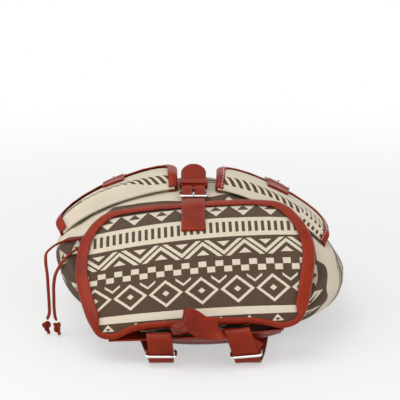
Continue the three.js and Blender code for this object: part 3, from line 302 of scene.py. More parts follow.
# %% Points on the body, walked round by arc length
def body_point(t, q):
    """Point of the body: t from mouth to base, q quarters round it (0 right, 1 front, 2 left, 3 back)."""
    back, rise, (left_waist, right_waist), quarters = ring_at(t)
    turn = q % 4
    k = int(turn)
    share = turn - k if k % 2 == 0 else 1 - (turn - k)
    walked, xs, ys = quarters[k]
    x = np.interp(share * walked[-1], walked, xs)
    up = np.interp(share * walked[-1], walked, ys)
    on_right = k in (0, 3)
    waist = right_waist if on_right else left_waist
    height = waist + up if k < 2 else waist - up
    y, z = back + rise * height
    return np.array([x if on_right else -x, y, z])


def body_normal(t, q, e=0.004):
    along = body_point(min(t + e, 1), q) - body_point(max(t - e, 0), q)
    around = body_point(t, q + 5 * e) - body_point(t, q - 5 * e)
    return unit(np.cross(along, around))


def body_skin(t, q, off):
    return body_point(t, q) + body_normal(t, q) * off


# %% Addresses on the front and the back
def middle_line(q):
    ts = np.linspace(0, 1, 121)
    points = np.array([body_point(t, q) for t in ts])
    return walk(points), ts


FRONT_LINE, BACK_LINE = middle_line(1), middle_line(3)
BACK_LENGTH = BACK_LINE[0][-1]


def front_address(run, aside):
    t = float(np.interp(run, *FRONT_LINE))
    quarters = ring_at(t)[3]
    upper, lower, way = (quarters[0], quarters[3], -1) if aside >= 0 else (quarters[1], quarters[2], 1)
    first, second = upper[0][-1], lower[0][-1]
    reach = abs(aside)
    return t, 1 + way * (min(reach, first) / first + max(0.0, reach - first) / second)


def front_skin(run, aside, off):
    return body_skin(*front_address(run, aside), off)


def back_skin(run, aside, off):
    t = float(np.interp(run, *BACK_LINE))
    quarters = ring_at(t)[3]
    total = quarters[3][0][-1] if aside >= 0 else quarters[2][0][-1]
    return body_skin(t, 3 + aside / total, off)


print(f"front {FRONT_LINE[0][-1]:.0f} mm long, back {BACK_LENGTH:.0f} mm long")

# %% [markdown]
# ## The lid's shape
# The lid is sewn to the yoke along its hinge edge, comes up off the bag's top and bends over to the front. Its
# middle line is walked from the hinge edge by a tilt that changes along the way, and the sheet falls away to
# both sides of that line and is rolled a little to one side, as the lid lies in the picture.

# %% Lid: a sheet that bends from its hinge edge over to its front edge
LID_HINGE, LID_LENGTH, LID_ROLL = (-190.0, 30.0), 185.0, np.radians(4)
LID_BEND = ((0, 30, 120, 186), (8, 40, 56, 82))
lid_v = np.linspace(0, LID_LENGTH * 1.1, 241)
lid_tilt = np.radians(np.interp(lid_v[:-1] + lid_v[1] / 2, *LID_BEND))
lid_y = LID_HINGE[0] + np.concatenate([[0], np.cumsum(np.sin(lid_tilt) * lid_v[1])])
lid_z = LID_HINGE[1] + np.concatenate([[0], np.cumsum(np.cos(lid_tilt) * lid_v[1])])


def lid_point(u, v, off):
    """Point of the lid: u across, v from the hinge edge to the front edge, off above its outer face."""
    tilt = np.radians(np.interp(v, *LID_BEND))
    crown = 0.0007 - 0.0003 * smooth((v - LID_LENGTH * 0.8) / (LID_LENGTH * 0.2))
    lift = off - crown * u * u
    y = np.interp(v, lid_v, lid_y) - np.cos(tilt) * lift
    z = np.interp(v, lid_v, lid_z) + np.sin(tilt) * lift - LID_HINGE[1]
    c, s = np.cos(LID_ROLL), np.sin(LID_ROLL)
    return np.array([u * c - z * s, y, LID_HINGE[1] + u * s + z * c])


print("front edge of the lid at", lid_point(0, LID_LENGTH, 0).round(1))

# %% [markdown]
# ## Smooth lines
# Straps, laces and outlines run through a few chosen points. Blender's curves could join them, but a mesh that
# is laid along a line needs the points, their spacing and the directions across at every station, so the line
# is worked out here, as a spline that doesn't overshoot where the points are unevenly spaced.


# %% Smooth lines through chosen points
def smooth_line(points, samples, closed=False):
    """Points on a smooth line through chosen ones, the same number between each pair."""
    points = np.asarray(points, float)
    count = len(points)
    last = count if closed else count - 1
    made = []
    for x in np.linspace(0, last, samples + 1):
        i = min(int(x), last - 1)
        f = x - i
        if closed:
            p0, p1, p2, p3 = (points[(i + k) % count] for k in (-1, 0, 1, 2))
        else:
            p1, p2 = points[i], points[i + 1]
            p0 = points[i - 1] if i > 0 else 2 * p1 - p2
            p3 = points[i + 2] if i + 2 < count else 2 * p2 - p1
        d0, d1, d2 = (max(np.sum((b - a) ** 2) ** 0.25, 1e-4) for a, b in ((p0, p1), (p1, p2), (p2, p3)))
        m1 = ((p1 - p0) / d0 - (p2 - p0) / (d0 + d1) + (p2 - p1) / d1) * d1
        m2 = ((p2 - p1) / d1 - (p3 - p1) / (d1 + d2) + (p3 - p2) / d2) * d1
        made.append(p1 + m1 * f + (3 * (p2 - p1) - 2 * m1 - m2) * f**2 + (2 * (p1 - p2) + m1 + m2) * f**3)
    return np.array(made)


def spaced(line, count):
    """The same line walked again in equal steps."""
    walked = walk(line)
    at = np.linspace(0, walked[-1], count + 1)
    return np.column_stack([np.interp(at, walked, axis) for axis in line.T])


# %% Directions along a line
def frames_along(line, acrosses, closed=False):
    """At each point, the direction across the line and the one square to both."""
    count = len(line)
    frames = []
    for i, across in enumerate(np.asarray(acrosses, float)):
        behind, ahead = (i - 1, (i + 1) % count) if closed else (max(i - 1, 0), min(i + 1, count - 1))
        forward = unit(line[ahead] - line[behind])
        side = unit(across - forward * across.dot(forward))
        frames.append((side, np.cross(side, forward)))
    return frames


# %% [markdown]
# ## From a flat grid to a piece of cloth or hide
# Real bags are cut from flat cloth and hide, so each piece starts as Blender's flat grid, and its corners are
# set down on the surface it covers. The cloth's own flat address is kept as a UV map in millimetres, which is
# what the print and the weave follow later. Thickness comes after that from the Solidify modifier. Sculpting
# or a simulation could do this too, but neither would keep the pieces a third of a millimetre apart.


# %% A flat grid laid on a surface
def laid_grid(name, columns, rows, place, cloth, facing=None, joined=False):
    """A grid whose corners go where place(a, b) says; cloth(a, b) is the flat address in mm."""
    bpy.ops.object.select_all(action="DESELECT")
    bpy.ops.mesh.primitive_grid_add(x_subdivisions=columns, y_subdivisions=rows, size=1)
    piece = bpy.context.object
    piece.name = name
    mesh = piece.data
    mesh.name = name
    shares = np.empty(len(mesh.vertices) * 3)
    mesh.vertices.foreach_get("co", shares)
    shares = shares.reshape(-1, 3)[:, :2] + 0.5
    points = metres([place(a, b) for a, b in shares])
    mesh.vertices.foreach_set("co", points.ravel())
    flat = np.array([cloth(a, b) for a, b in shares])
    corners = np.empty(len(mesh.loops), int)
    mesh.loops.foreach_get("vertex_index", corners)
    mesh.uv_layers[0].data.foreach_set("uv", flat[corners].ravel())
    mesh.update()
    normals = np.empty(len(mesh.polygons) * 3)
    centres = np.empty(len(mesh.polygons) * 3)
    mesh.polygons.foreach_get("normal", normals)
    mesh.polygons.foreach_get("center", centres)
    normals, centres = normals.reshape(-1, 3), centres.reshape(-1, 3)
    away = centres - centres.mean(axis=0) if facing is None else np.asarray(facing, float)
    inside_out = float((normals * away).sum()) < 0
    bpy.ops.object.mode_set(mode="EDIT")
    bpy.ops.mesh.select_all(action="SELECT")
    if joined:
        bpy.ops.mesh.remove_doubles(threshold=1e-6)
    if inside_out:
        bpy.ops.mesh.flip_normals()
    bpy.ops.object.mode_set(mode="OBJECT")
    bpy.ops.object.shade_smooth()
    return piece


# %% Choosing a piece and turning its faces out
def choose(piece):
    """Leaves only this piece selected and active, because an operator acts on all that is selected."""
    bpy.ops.object.select_all(action="DESELECT")
    piece.select_set(True)
    bpy.context.view_layer.objects.active = piece


def face_outwards(piece):
    choose(piece)
    bpy.ops.object.mode_set(mode="EDIT")
    bpy.ops.mesh.select_all(action="SELECT")
    bpy.ops.mesh.normals_make_consistent(inside=False)
    bpy.ops.object.mode_set(mode="OBJECT")


# %% Thickness, soft edges and handing a piece over
def apply_modifier(piece, kind, **settings):
    choose(piece)
    modifier = piece.modifiers.new(kind.lower(), kind)
    for name, value in settings.items():
        setattr(modifier, name, value)
    bpy.ops.object.modifier_apply(modifier=modifier.name)


def thicken(piece, thickness, offset=-1.0, rim=0):
    apply_modifier(piece, "SOLIDIFY", thickness=thickness / 1000, offset=offset, material_offset_rim=rim,
                   use_even_offset=True, use_quality_normals=True)


def soften(piece, width, segments=2):
    apply_modifier(piece, "BEVEL", width=width / 1000, segments=segments, limit_method="ANGLE",
                   angle_limit=math.radians(40))
    choose(piece)
    bpy.ops.object.shade_smooth_by_angle(angle=math.radians(35))


def settle(piece, body, nodes, materials):
    """Rides on its body, stands for its solids and takes its finish."""
    piece.data.materials.clear()
    for material in materials:
        piece.data.materials.append(material)
    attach(piece, body)
    if nodes:
        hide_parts(*nodes)
    print(piece.name, len(piece.data.polygons), "faces")


print("modelling helpers are ready")

# %% [markdown]
# ## The motifs of the print
# The print has to stay sharp at any distance, so it isn't a picture but a sum of shapes: bands, bars, checks,
# chevrons and diamonds, each worked out from the cloth's flat address in millimetres.


# %% Triangles and ladders
def triangles(u, y, pitch, phase, base, high, pointed_up=True):
    """A row of triangles, each with a smaller dark one standing on its head inside it."""
    x = abs(u.repeat(pitch, phase))
    height = y if pointed_up else (y * -1) + high
    slope = base / 2 / high
    whole = (x < (height * -slope) + base / 2) & height.between(0, high)
    hole = (x < height * slope) & (height < high / 2 - 0.5)
    return whole.without(hole)


def ladder(u, y, high, pitch, phase, bar, bar_low, bar_high):
    return y.between(0, high).without((abs(u.repeat(pitch, phase)) < bar) & y.between(bar_low, bar_high))


# %% Chevrons, checks, diamonds, bars and squares
def chevrons(u, y, pitch, phase, high):
    """Two thick zigzag lines side by side, with a small triangle inside every bend."""
    ridge = (abs(u.repeat(pitch, phase)) * (-2 * high / pitch)) + high
    off = (y - ridge) * 0.71
    lines = abs(off).between(1.1, 4.9)
    low = (off < -9.3) & (y > 2.6)
    top = (off > 9.3) & (y < high - 2.6)
    return (lines | low | top) & y.between(0, high)


def checks(u, y, pitch, phase, cell):
    low = (abs(u.repeat(pitch, phase + pitch / 2)) < pitch / 4 - 0.3) & y.between(0, cell)
    top = (abs(u.repeat(pitch, phase)) < pitch / 4 - 0.3) & y.between(cell + 0.3, 2 * cell + 0.3)
    return low | top


def diamonds(u, y, pitch, phase, high):
    x = abs(u.repeat(pitch, phase))
    size = (x * (2 / (pitch - 1.5))) + (abs(y - high / 2) * (2 / high))
    ticks_x = abs(u.repeat(pitch, phase + pitch / 2))
    ticks = (abs(y - (ticks_x * 0.86 + (high - 7.6))) < 1.5) & (ticks_x < 8.2)
    return size.between(0.76, 1.0) | (size < 0.21) | ticks


def slanted_bars(u, y, high, pitch, bar):
    return (abs((u + y * 1.1).repeat(pitch)) > bar) & y.between(0, high)


def squares(u, y, high, pitch):
    dots = (abs(u.repeat(pitch)) < 1.6) & (abs(y.repeat(pitch, pitch / 2)) < 1.5)
    return y.between(0, high).without(dots & y.between(1.5, high - 1.5))


# %% [markdown]
# ## Printed canvas
# The cloth is a cream cotton canvas, printed in brown. The rows follow each other in a fixed order, so one
# material can hold all of them, and each piece of the bag takes its rows by the stretch of the flat address
# that it was cut from: 0 to 200 is the lid, 900 on is the body, 1400 on the flaps, 1500 on the pockets. A little
# noise breaks the printed edge up and fades the ink, and a fine over-and-under bump gives the weave. An image
# texture would be easier, but it would blur close up.


# %% The rows of the print
def printed_rows(u, v):
    """Every row that the print leaves bare, at u across and v up the cloth."""
    return [
        # the lid, from its hinge edge to its front edge
        triangles(u, v - 13.6, 29.7, 27.2, 13, 8),
        v.between(22.6, 31.6),
        diamonds(u, v - 36.0, 37.9, 8.9, 32.4),
        checks(u, v - 72.9, 18.08, 11.2, 7.0),
        chevrons(u, v - 92.6, 45.2, 12.6, 22.6),
        ladder(u, v - 118.4, 30.2, 7.07, -97.6, 1.75, 6.6, 23.4),
        triangles(u, v - 152.6, 30.1, 29.2, 29, 20, pointed_up=False),
        # the body, from the mouth towards the base; the wide cream band starts at 1000
        checks(u, v - 902.0, 18.08, 3.0, 7.0),
        ladder(u, v - 922.0, 24.0, 7.1, 0.0, 1.75, 5.0, 19.0),
        triangles(u, v - 972.0, 30.1, 38.0, 25, 21),
        v.between(1000, 1040),
        slanted_bars(u, v - 1040.0, 10.0, 8.6, 2.3),
        chevrons(u, v - 1056.0, 45.2, 0.0, 22.6),
        diamonds(u, v - 1084.0, 37.9, 0.0, 32.4),
        ladder(u, v - 1124.0, 26.0, 7.1, 0.0, 1.75, 5.0, 21.0),
        triangles(u, v - 1154.0, 30.1, 0.0, 26, 18, pointed_up=False),
        squares(u, v - 1178.0, 22.0, 6.2),
        chevrons(u, v - 1206.0, 45.2, 0.0, 22.6),
        v.between(1234, 1262),
        triangles(u, v - 1266.0, 30.1, 0.0, 26, 18),
        # the flaps, from their hinge
        v.between(1380, 1404) & (u < 125),
        slanted_bars(u, v - 1404.0, 9.0, 8.6, 2.3) & u.between(-132, 125),
        v.between(1412.9, 1490) & (u > -132) & ((u < 125) | (v > 1432)),
        chevrons(u, v - 1408.0, 45.2, -140.0, 22.6) & (u < -132),
        squares(u, v - 1398.0, 34.0, 6.2) & (u > 125),
        # the pockets
        diamonds(u, v - 1540.0, 37.9, 0.0, 32.4),
        ladder(u, v - 1578.0, 26.0, 7.1, 0.0, 1.75, 5.0, 21.0),
        chevrons(u, v - 1608.0, 45.2, 0.0, 22.6),
        checks(u, v - 1736.0, 18.08, 0.0, 7.0),
        diamonds(u, v - 1754.0, 37.9, 0.0, 32.4),
        v.between(1790, 1800),
        triangles(u, v - 1804.0, 30.1, 0.0, 26, 18),
    ]


# %% Colours and relief
CREAM, INK = (0.77, 0.685, 0.54), (0.088, 0.052, 0.031)


def shade(colour, *shares):
    """A colour with its channels multiplied, all by one number or each by its own."""
    return (*(channel * shares[min(k, len(shares) - 1)] for k, channel in enumerate(colour)), 1)


def mixed(tree, share, first, second, blend="MIX"):
    """Two colours mixed. Each of the three is a value or the output of a node."""
    node = tree.nodes.new("ShaderNodeMix")
    node.data_type, node.blend_type = "RGBA", blend
    for name, value in (("Factor", share), ("A", first), ("B", second)):
        if isinstance(value, bpy.types.NodeSocket):
            tree.links.new(value, node.inputs[name])
        else:
            node.inputs[name].default_value = value
    return node.outputs["Result"]


def texture(tree, kind, output="Fac", **values):
    """A texture that stays put on its piece, because it reads Object coordinates."""
    node = add_node(tree, f"ShaderNodeTex{kind}", **values)
    place = tree.nodes.new("ShaderNodeTexCoord")
    tree.links.new(place.outputs["Object"], node.inputs["Vector"])
    return node.outputs[output]


def raise_relief(tree, height, strength, distance):
    bump = add_node(tree, "ShaderNodeBump", Strength=strength, Distance=distance)
    tree.links.new(height, bump.inputs["Height"])
    tree.links.new(bump.outputs["Normal"], tree.nodes["Principled BSDF"].inputs["Normal"])


# %% Canvas material
THREAD_PITCH = 0.9


def printed_canvas():
    material = plain_material("printed_canvas", CREAM, 0.88)
    tree = material.node_tree
    flat = tree.nodes.new("ShaderNodeUVMap")
    flat.uv_map = "UVMap"
    split = tree.nodes.new("ShaderNodeSeparateXYZ")
    tree.links.new(flat.outputs["UV"], split.inputs[0])
    across, along = Term(tree, split.outputs["X"]), Term(tree, split.outputs["Y"])

    # the printed edge wanders by a fraction of a millimetre
    wobble = (Term(tree, texture(tree, "Noise", Scale=900.0, Detail=2.0)) - 0.5) * 0.8
    rows = printed_rows(across + wobble, along + wobble)
    bare = rows[0]
    for row in rows[1:]:
        bare = bare | row
    fade = texture(tree, "Noise", Scale=42.0, Detail=5.0, Roughness=0.6)
    ink = mixed(tree, fade, shade(INK, 0.82), shade(INK, 1.35))
    cream = mixed(tree, fade, shade(CREAM, 0.93, 0.91, 0.86), shade(CREAM, 1.04, 1.05, 1.08))
    printed = mixed(tree, bare.socket, ink, cream)

    # the weave: one thread over and one under, with painted shade in the gaps between threads and their tops painted
    # lighter
    warp, weft = (abs((way * (math.pi / THREAD_PITCH)).make("SINE")) for way in (across, along))
    weave = warp * weft
    painted_gap_shade = (weave * 0.22) + 0.86
    grey = tree.nodes.new("ShaderNodeCombineColor")
    for channel in ("Red", "Green", "Blue"):
        tree.links.new(painted_gap_shade.socket, grey.inputs[channel])
    # the print is multiplied by the painted shade of the weave: darker in the gaps, lighter on the thread tops
    print_with_painted_gap_shade = mixed(tree, 1.0, printed, grey.outputs["Color"], blend="MULTIPLY")
    shader = tree.nodes["Principled BSDF"]
    tree.links.new(print_with_painted_gap_shade, shader.inputs["Base Color"])
    slubs = Term(tree, texture(tree, "Noise", Scale=260.0, Detail=3.0)) * 0.8
    raise_relief(tree, (weave + slubs).socket, 0.45, 0.0003)
    shader.inputs["Specular IOR Level"].default_value = 0.25
    shader.inputs["Sheen Weight"].default_value = 0.12
    shader.inputs["Sheen Roughness"].default_value = 0.5
    return material


canvas_finish = printed_canvas()
print("print made of", len(canvas_finish.node_tree.nodes), "nodes")

# %% [markdown]
# ## Leather, thread and wire
# The trim is corrected-grain leather, dyed red-brown and sealed, so it is fairly glossy with a pebble too fine
# to see from afar, and it is a little darker where it was pressed and lighter where a strap bends. Its cut edges
# are paler and dull. The buckles are polished steel wire. Each is one Principled shader, with noise where the
# real surface varies.

# %% Leather and its cut edge
LEATHER_RED, LEATHER_DARK = (0.26, 0.018, 0.001), (0.155, 0.008, 0.001)


def leather(name, light, dark, roughness):
    material = plain_material(name, light, roughness)
    tree = material.node_tree
    shader = tree.nodes["Principled BSDF"]
    patches = texture(tree, "Noise", Scale=28.0, Detail=6.0, Roughness=0.62)
    dye_share = ranged(tree, patches, from_min=0.3, from_max=0.58)
    tree.links.new(mixed(tree, dye_share, shade(dark, 1), shade(light, 1)), shader.inputs["Base Color"])
    pebble = Term(tree, texture(tree, "Voronoi", output="Distance", Scale=950.0)) * 0.5
    crease = Term(tree, texture(tree, "Noise", Scale=120.0, Detail=4.0))
    raise_relief(tree, (pebble + crease).socket, 0.35, 0.0004)
    polish = ranged(tree, patches, to_min=roughness - 0.07, to_max=roughness + 0.12)
    tree.links.new(polish, shader.inputs["Roughness"])
    shader.inputs["Specular IOR Level"].default_value = 0.16
    shader.inputs["Coat Weight"].default_value = 0.09
    shader.inputs["Coat Roughness"].default_value = 0.22
    return material


strap_leather = leather("trim_leather", LEATHER_RED, LEATHER_DARK, 0.36)
binding_leather = leather("binding_leather", (0.28, 0.020, 0.001), (0.18, 0.010, 0.001), 0.40)
cut_edge = leather("cut_leather_edge", (0.28, 0.06, 0.02), (0.19, 0.03, 0.01), 0.7)
print("leathers:", strap_leather.name, binding_leather.name, cut_edge.name)


# %% Thread and steel
def thread_finish(name, colour):
    material = plain_material(name, colour, 0.7)
    twist = texture(material.node_tree, "Noise", Scale=1400.0, Detail=1.0)
    raise_relief(material.node_tree, twist, 0.5, 0.0002)
    return material


red_thread = thread_finish("red_thread", (0.30, 0.05, 0.02))
white_thread = thread_finish("white_thread", (0.80, 0.76, 0.68))

steel = plain_material("polished_steel", (0.80, 0.79, 0.77), 0.14)
steel_shader = steel.node_tree.nodes["Principled BSDF"]
steel_shader.inputs["Metallic"].default_value = 1.0
scuffs = texture(steel.node_tree, "Noise", Scale=300.0, Detail=4.0)
scuffed = ranged(steel.node_tree, scuffs, to_min=0.08, to_max=0.26)
steel.node_tree.links.new(scuffed, steel_shader.inputs["Roughness"])
print(len(bpy.data.materials), "materials")

# %% [markdown]
# ## Laces and knots
# Two flat leather laces come out of the gathered mouth, run round the bag's left shoulder and hang down
# beside it, each ending in an overhand knot with a short tail. A curve with a bevel would make a round cord,
# so each lace is a flattened tube swept along its route instead, lying flat on the cloth and turning as it
# hangs. The knot is the real one: a short length that passes round and through itself.

# %% Tubes
LACE_W, LACE_T, TUBE_END = 4.4, 2.6, 0.72


def tube(name, line, across, wide, high, sides=10, closed=False):
    """A flattened tube round a line of points; across(i) is the direction of its wide way."""
    line = np.asarray(line, float)
    count, total = len(line), length_of(line)
    rows = count if closed else count - 1
    frames = frames_along(line, [across(i) for i in range(count)], closed)
    taper = np.ones(count)
    if not closed:
        taper[[0, -1]] = TUBE_END

    def place(a, b):
        i = round(b * rows) % count
        side, out = frames[i]
        angle = 2 * math.pi * a
        size = taper[i] / 2
        return line[i] + side * (wide * size * math.cos(angle)) + out * (high * size * math.sin(angle))

    piece = laid_grid(name, sides, rows, place, lambda a, b: (a * wide * 3, b * total), joined=True)
    if not closed:
        bpy.ops.object.mode_set(mode="EDIT")
        bpy.ops.mesh.select_all(action="SELECT")
        bpy.ops.mesh.region_to_loop()
        bpy.ops.mesh.edge_face_add()
        bpy.ops.object.mode_set(mode="OBJECT")
        face_outwards(piece)
    return piece


# %% Where the laces run
UPPER_LACE = [
    (-29, -131.8, 83.1), (-44, -124, 89.5), (-60, -116.1, 95), (-76, -106, 101), (-92, -94.6, 106.2),
    (-109.8, -81, 110.2), (-118, -80.4, 108.2), (-129, -77.4, 107.1), (-140.7, -72.6, 103.9),
    (-148.6, -71.6, 102.2), (-155, -77, 100.6), (-161.3, -85.5, 97.6), (-165, -92, 94), (-165.4, -94, 85),
    (-164, -94.5, 70.7), (-163.4, -94.5, 53.4), (-162.8, -94.5, 36), (-163, -94.5, 26), (-165.5, -95, 19.4),
]
LOWER_LACE = [
    (-28.5, -135.4, 79.7), (-44, -129, 86), (-60, -121, 91.4), (-76, -111.4, 96.6), (-92, -101, 101.6),
    (-109, -87.6, 107.2), (-117.2, -88.2, 104.6), (-124.8, -90, 101.8), (-132.4, -92, 98.6),
    (-139.4, -94.3, 93.8), (-145, -95.2, 88), (-150.6, -95.6, 80), (-155, -95.8, 70.9), (-157, -96, 59.2),
    (-157.2, -96.4, 45.3), (-157.2, -96.6, 32.5), (-156.4, -96.4, 23), (-155.2, -96, 18.4),
]
print("laces through", len(UPPER_LACE), "and", len(LOWER_LACE), "points")


# %% Knots and laces
def overhand_knot(name, middle, turn):
    """An overhand knot: one closed pass round itself, flattened and pulled tight."""
    steps = np.linspace(0, 2 * math.pi, 73)[:-1]
    x = np.sin(steps) + 2 * np.sin(2 * steps)
    y = np.cos(steps) - 2 * np.cos(2 * steps)
    z = -np.sin(3 * steps)
    c, s = math.cos(turn), math.sin(turn)
    middle = np.asarray(middle)
    line = np.column_stack([(x * c - z * s * 1.3) * 1.15, x * s + z * c * 1.3, y * 1.62]) + middle
    return tube(name, line, lambda i: line[i] - middle + (0.01, 0, 0), 3.6, 3.2, sides=8, closed=True)


HUNG, DRAPED = np.array([0.75, -0.66, 0.0]), np.array([0.62, -0.55, 0.56])


def lace(name, route, knot_middle, knot_turn):
    line = spaced(smooth_line(route, 8 * len(route)), 110)

    def across(i):
        hang = smooth((100 - line[i][2]) / 25)
        return DRAPED * (1 - hang) + HUNG * hang

    body = tube(name + "_cord", line, across, LACE_W, LACE_T)
    knot = overhand_knot(name + "_overhand_knot", knot_middle, knot_turn)
    x, y, z = knot_middle
    tail_line = smooth_line([(x + 1, y, z - 3), (x + 2.2, y - 0.6, z - 6.5), (x + 2.4, y - 1.2, z - 9.2)], 8)
    tail = tube(name + "_tail", tail_line, lambda i: (1, -0.5, 0), LACE_W, 2.0)
    settle(body, "bag", [name], [strap_leather])
    settle(knot, "bag", [name + "_knot"], [strap_leather])
    settle(tail, "bag", [], [strap_leather])
    print(name, round(length_of(line)), "mm")


lace("upper_lace", UPPER_LACE, (-166.4, -95, 11.9), 0.5)
lace("lower_lace", LOWER_LACE, (-154.6, -96, 11.0), -0.4)

# %% [markdown]
# ## The canvas body
# One soft shell makes the front, sides and back, because on the bag you can't see where one ends and the next
# begins except for two long seams underneath. It follows the sections, but cloth is never that smooth: it is
# gathered into the mouth, so it runs in folds there, and the sides sag in long shallow hollows. Those folds are
# written as gentle waves that die away under the pockets and the lid, where the cloth lies flat. A cloth
# simulation would have moved the cloth off the solids.

# %% How the print runs over the body
# where the wide cream band starts and ends: length aside from the middle, length from the mouth
BAND_START = np.array([
    (-300, 105), (-260, 105), (-200, 92), (-150, 52), (-125, 42), (-112, 66), (-98, 81), (-75, 69), (-50, 59),
    (-19, 54), (18, 68), (33, 81), (51, 91), (81, 110), (99, 115), (129, 100), (146, 84), (157, 50), (176, 44),
    (209, 48), (247, 58), (300, 50),
])
BAND_END = np.array([
    (-300, 140), (-200, 128), (-156, 104), (-140, 96), (-120, 122), (-74, 128), (-43, 120), (-17, 114), (18, 106),
    (33, 115), (51, 128), (81, 142), (99, 150), (129, 140), (150, 125), (179, 96), (190, 82), (209, 74),
    (247, 78), (300, 85),
])
BAND_PRINT, BAND_PRINTED_WIDTH = 1000, 40


def body_flat(t, q):
    """Flat address of the body's cloth: across, up the print, and the length from the mouth."""
    quarters = ring_at(t)[3]
    turn = q % 4
    on_right, over_top = turn < 1 or turn >= 3, turn < 2
    upper, lower = (quarters[0], quarters[3]) if on_right else (quarters[1], quarters[2])
    share = abs(turn - 1) if over_top else (turn - 2 if turn < 3 else 4 - turn)
    reach = share * upper[0][-1] if over_top else upper[0][-1] + share * lower[0][-1]
    aside = reach if on_right else -reach
    run = float(np.interp(t, FRONT_LINE[1], FRONT_LINE[0]))
    start, end = (float(np.interp(aside, *band.T)) for band in (BAND_START, BAND_END))
    if run < start:
        height = BAND_PRINT + (run - start)
    elif run < end:
        height = BAND_PRINT + BAND_PRINTED_WIDTH * (run - start) / (end - start)
    else:
        height = BAND_PRINT + BAND_PRINTED_WIDTH + (run - end)
    return aside, height, run


print("band followed at", len(BAND_START), "and", len(BAND_END), "points")


# %% How the cloth folds
def body_folds(q, aside, run):
    """How far the cloth stands off its smooth shape, in mm."""
    turn = q % 4
    side = abs(aside)
    beside_lid = smooth((side - 105) / 40)
    open_cloth = beside_lid * (1 - 0.75 * smooth((turn - 2.3) / 0.25) * (1 - smooth((turn - 3.45) / 0.25)))
    gathers = math.exp(-run / 48) * (
        2.6 * math.sin(aside / 5.3 + 0.4 * math.sin(run / 17)) + 2.0 * math.sin(aside / 9.1 + 1.7)
    )
    hollows = (
        1.9 * math.sin(aside / 31 + run / 43)
        + 1.7 * math.sin(run / 23 - aside / 52 + 0.8)
        + 1.0 * math.sin(aside / 14 + run / 37)
    )
    far = smooth((run - 20) / 60) * smooth((305 - run) / 50)
    slack = open_cloth * (gathers + hollows * (0.35 + 0.65 * far))
    under_trim = -0.35 * (1 - open_cloth) * (1 + math.sin(aside / 12 + run / 16)) * smooth((run - 25) / 30)
    seam = -1.3 * math.exp(-(((turn - 2.42) * 75) ** 2) / 9) - 1.3 * math.exp(-(((turn - 3.58) * 75) ** 2) / 9)
    flat_back = 0.25 if 2.6 < turn < 3.4 else 1.0
    return slack * flat_back + under_trim + seam


# %% Body shell
BODY_ROUND, BODY_ALONG = 224, 112
body_addresses = {}


def body_address(a, b):
    key = (round(a * BODY_ROUND), round(b * BODY_ALONG))
    if key not in body_addresses:
        body_addresses[key] = body_flat(b, 3.0 + 4 * a)
    return body_addresses[key]


def body_place(a, b):
    aside, _, run = body_address(a, b)
    q = 3.0 + 4 * a
    point = body_skin(b, q, body_folds(q, aside, run))
    point[2] = max(point[2], 0.05)
    return point


def body_cloth(a, b):
    aside, height, run = body_address(a, b)
    if a > 0.999:
        aside = abs(aside)
    elif a < 0.001:
        aside = -abs(aside)
    gather = math.exp(-run / 60) * smooth((abs(aside) - 105) / 40)
    return aside, height + gather * 7 * math.sin(aside / 7.3) + 2.5 * math.sin(aside / 19 + 0.5)


shell = laid_grid("canvas_body", BODY_ROUND, BODY_ALONG, body_place, body_cloth, joined=True)
thicken(shell, 1.6)
settle(shell, "bag", ["front_panel", "left_side_panel", "right_side_panel", "back_panel"], [canvas_finish])

# %% [markdown]
# ## The base and its piping
# The far end of the bag is closed by a flat oval of the same canvas. It is a grid bent round to a disc, pulled
# out to the body's last ring and bulged a little by what is in the bag. A thin piping of leather runs in the
# seam, as a closed tube along the same ring.

# %% Base
base_y, base_z = SECTIONS[-1][0], (SECTIONS[-1][1] + SECTIONS[-1][3]) / 2


def base_place(a, b):
    rim = body_point(1, 4 * a)
    middle = np.array([0.0, base_y, base_z])
    point = middle + (rim - middle) * (0.985 * b)
    bulge = 2.0 * (1 - b**2) + 0.5 * math.sin(point[0] / 17) * math.sin(point[2] / 9) * (1 - b**4)
    return point + np.array([0, bulge - 0.6, 0])


def base_cloth(a, b):
    point = base_place(a, b)
    return point[0], 1234 + (point[2] - 20)


base = laid_grid("canvas_base", 96, 22, base_place, base_cloth, facing=(0, 1, 0), joined=True)
thicken(base, 1.6)
settle(base, "bag", ["base_panel"], [canvas_finish])

# %% Piping
PIPING_W = 3.4
piping_line = np.array([body_skin(0.997, 4 * a, 0.3) for a in np.linspace(0, 1, 161)[:-1]])
piping = tube("base_piping", piping_line, lambda i: (0, 1, 0), PIPING_W, PIPING_W, sides=8, closed=True)
settle(piping, "bag", [], [binding_leather])

# %% [markdown]
# ## The gathered mouth
# Behind the lid the top of the bag is drawn shut like a purse. The cloth runs in over the opening in pleats
# that get deeper towards the neck, a lace goes round the neck, and the hem stands up past it in a ruffle. A
# spin of one profile gives the shape, and a wave round it, growing towards the middle, gives the pleats.

# %% Mouth
NECK_RADIUS, PLEATS = 20, 13
mouth_rise = ring_at(0)[1]
mouth_middle = np.array([0, (SECTIONS[0][0] + SECTIONS[0][2]) / 2, (SECTIONS[0][1] + SECTIONS[0][3]) / 2])
mouth_up = np.array([0, -mouth_rise[1], mouth_rise[0]])
mouth_over = np.array([0, mouth_rise[0], mouth_rise[1]])
# share along the profile: how near the rim, how far out of the neck, height, and depth of the pleats
MOUTH_PROFILE = np.array([
    (0.00, 1.00, 0, 1.9, 0.0),
    (0.12, 0.84, 0, 6.2, 0.25),
    (0.32, 0.58, 0, 8.65, 0.7),
    (0.52, 0.30, 0, 9.2, 1.1),
    (0.64, 0.10, 0, 9.6, 1.3),
    (0.74, 0.00, 0, 11.5, 1.2),
    (0.86, 0.00, 0, 15.5, 1.2),
    (1.00, 0.00, 6.0, 19.5, 1.9),
])


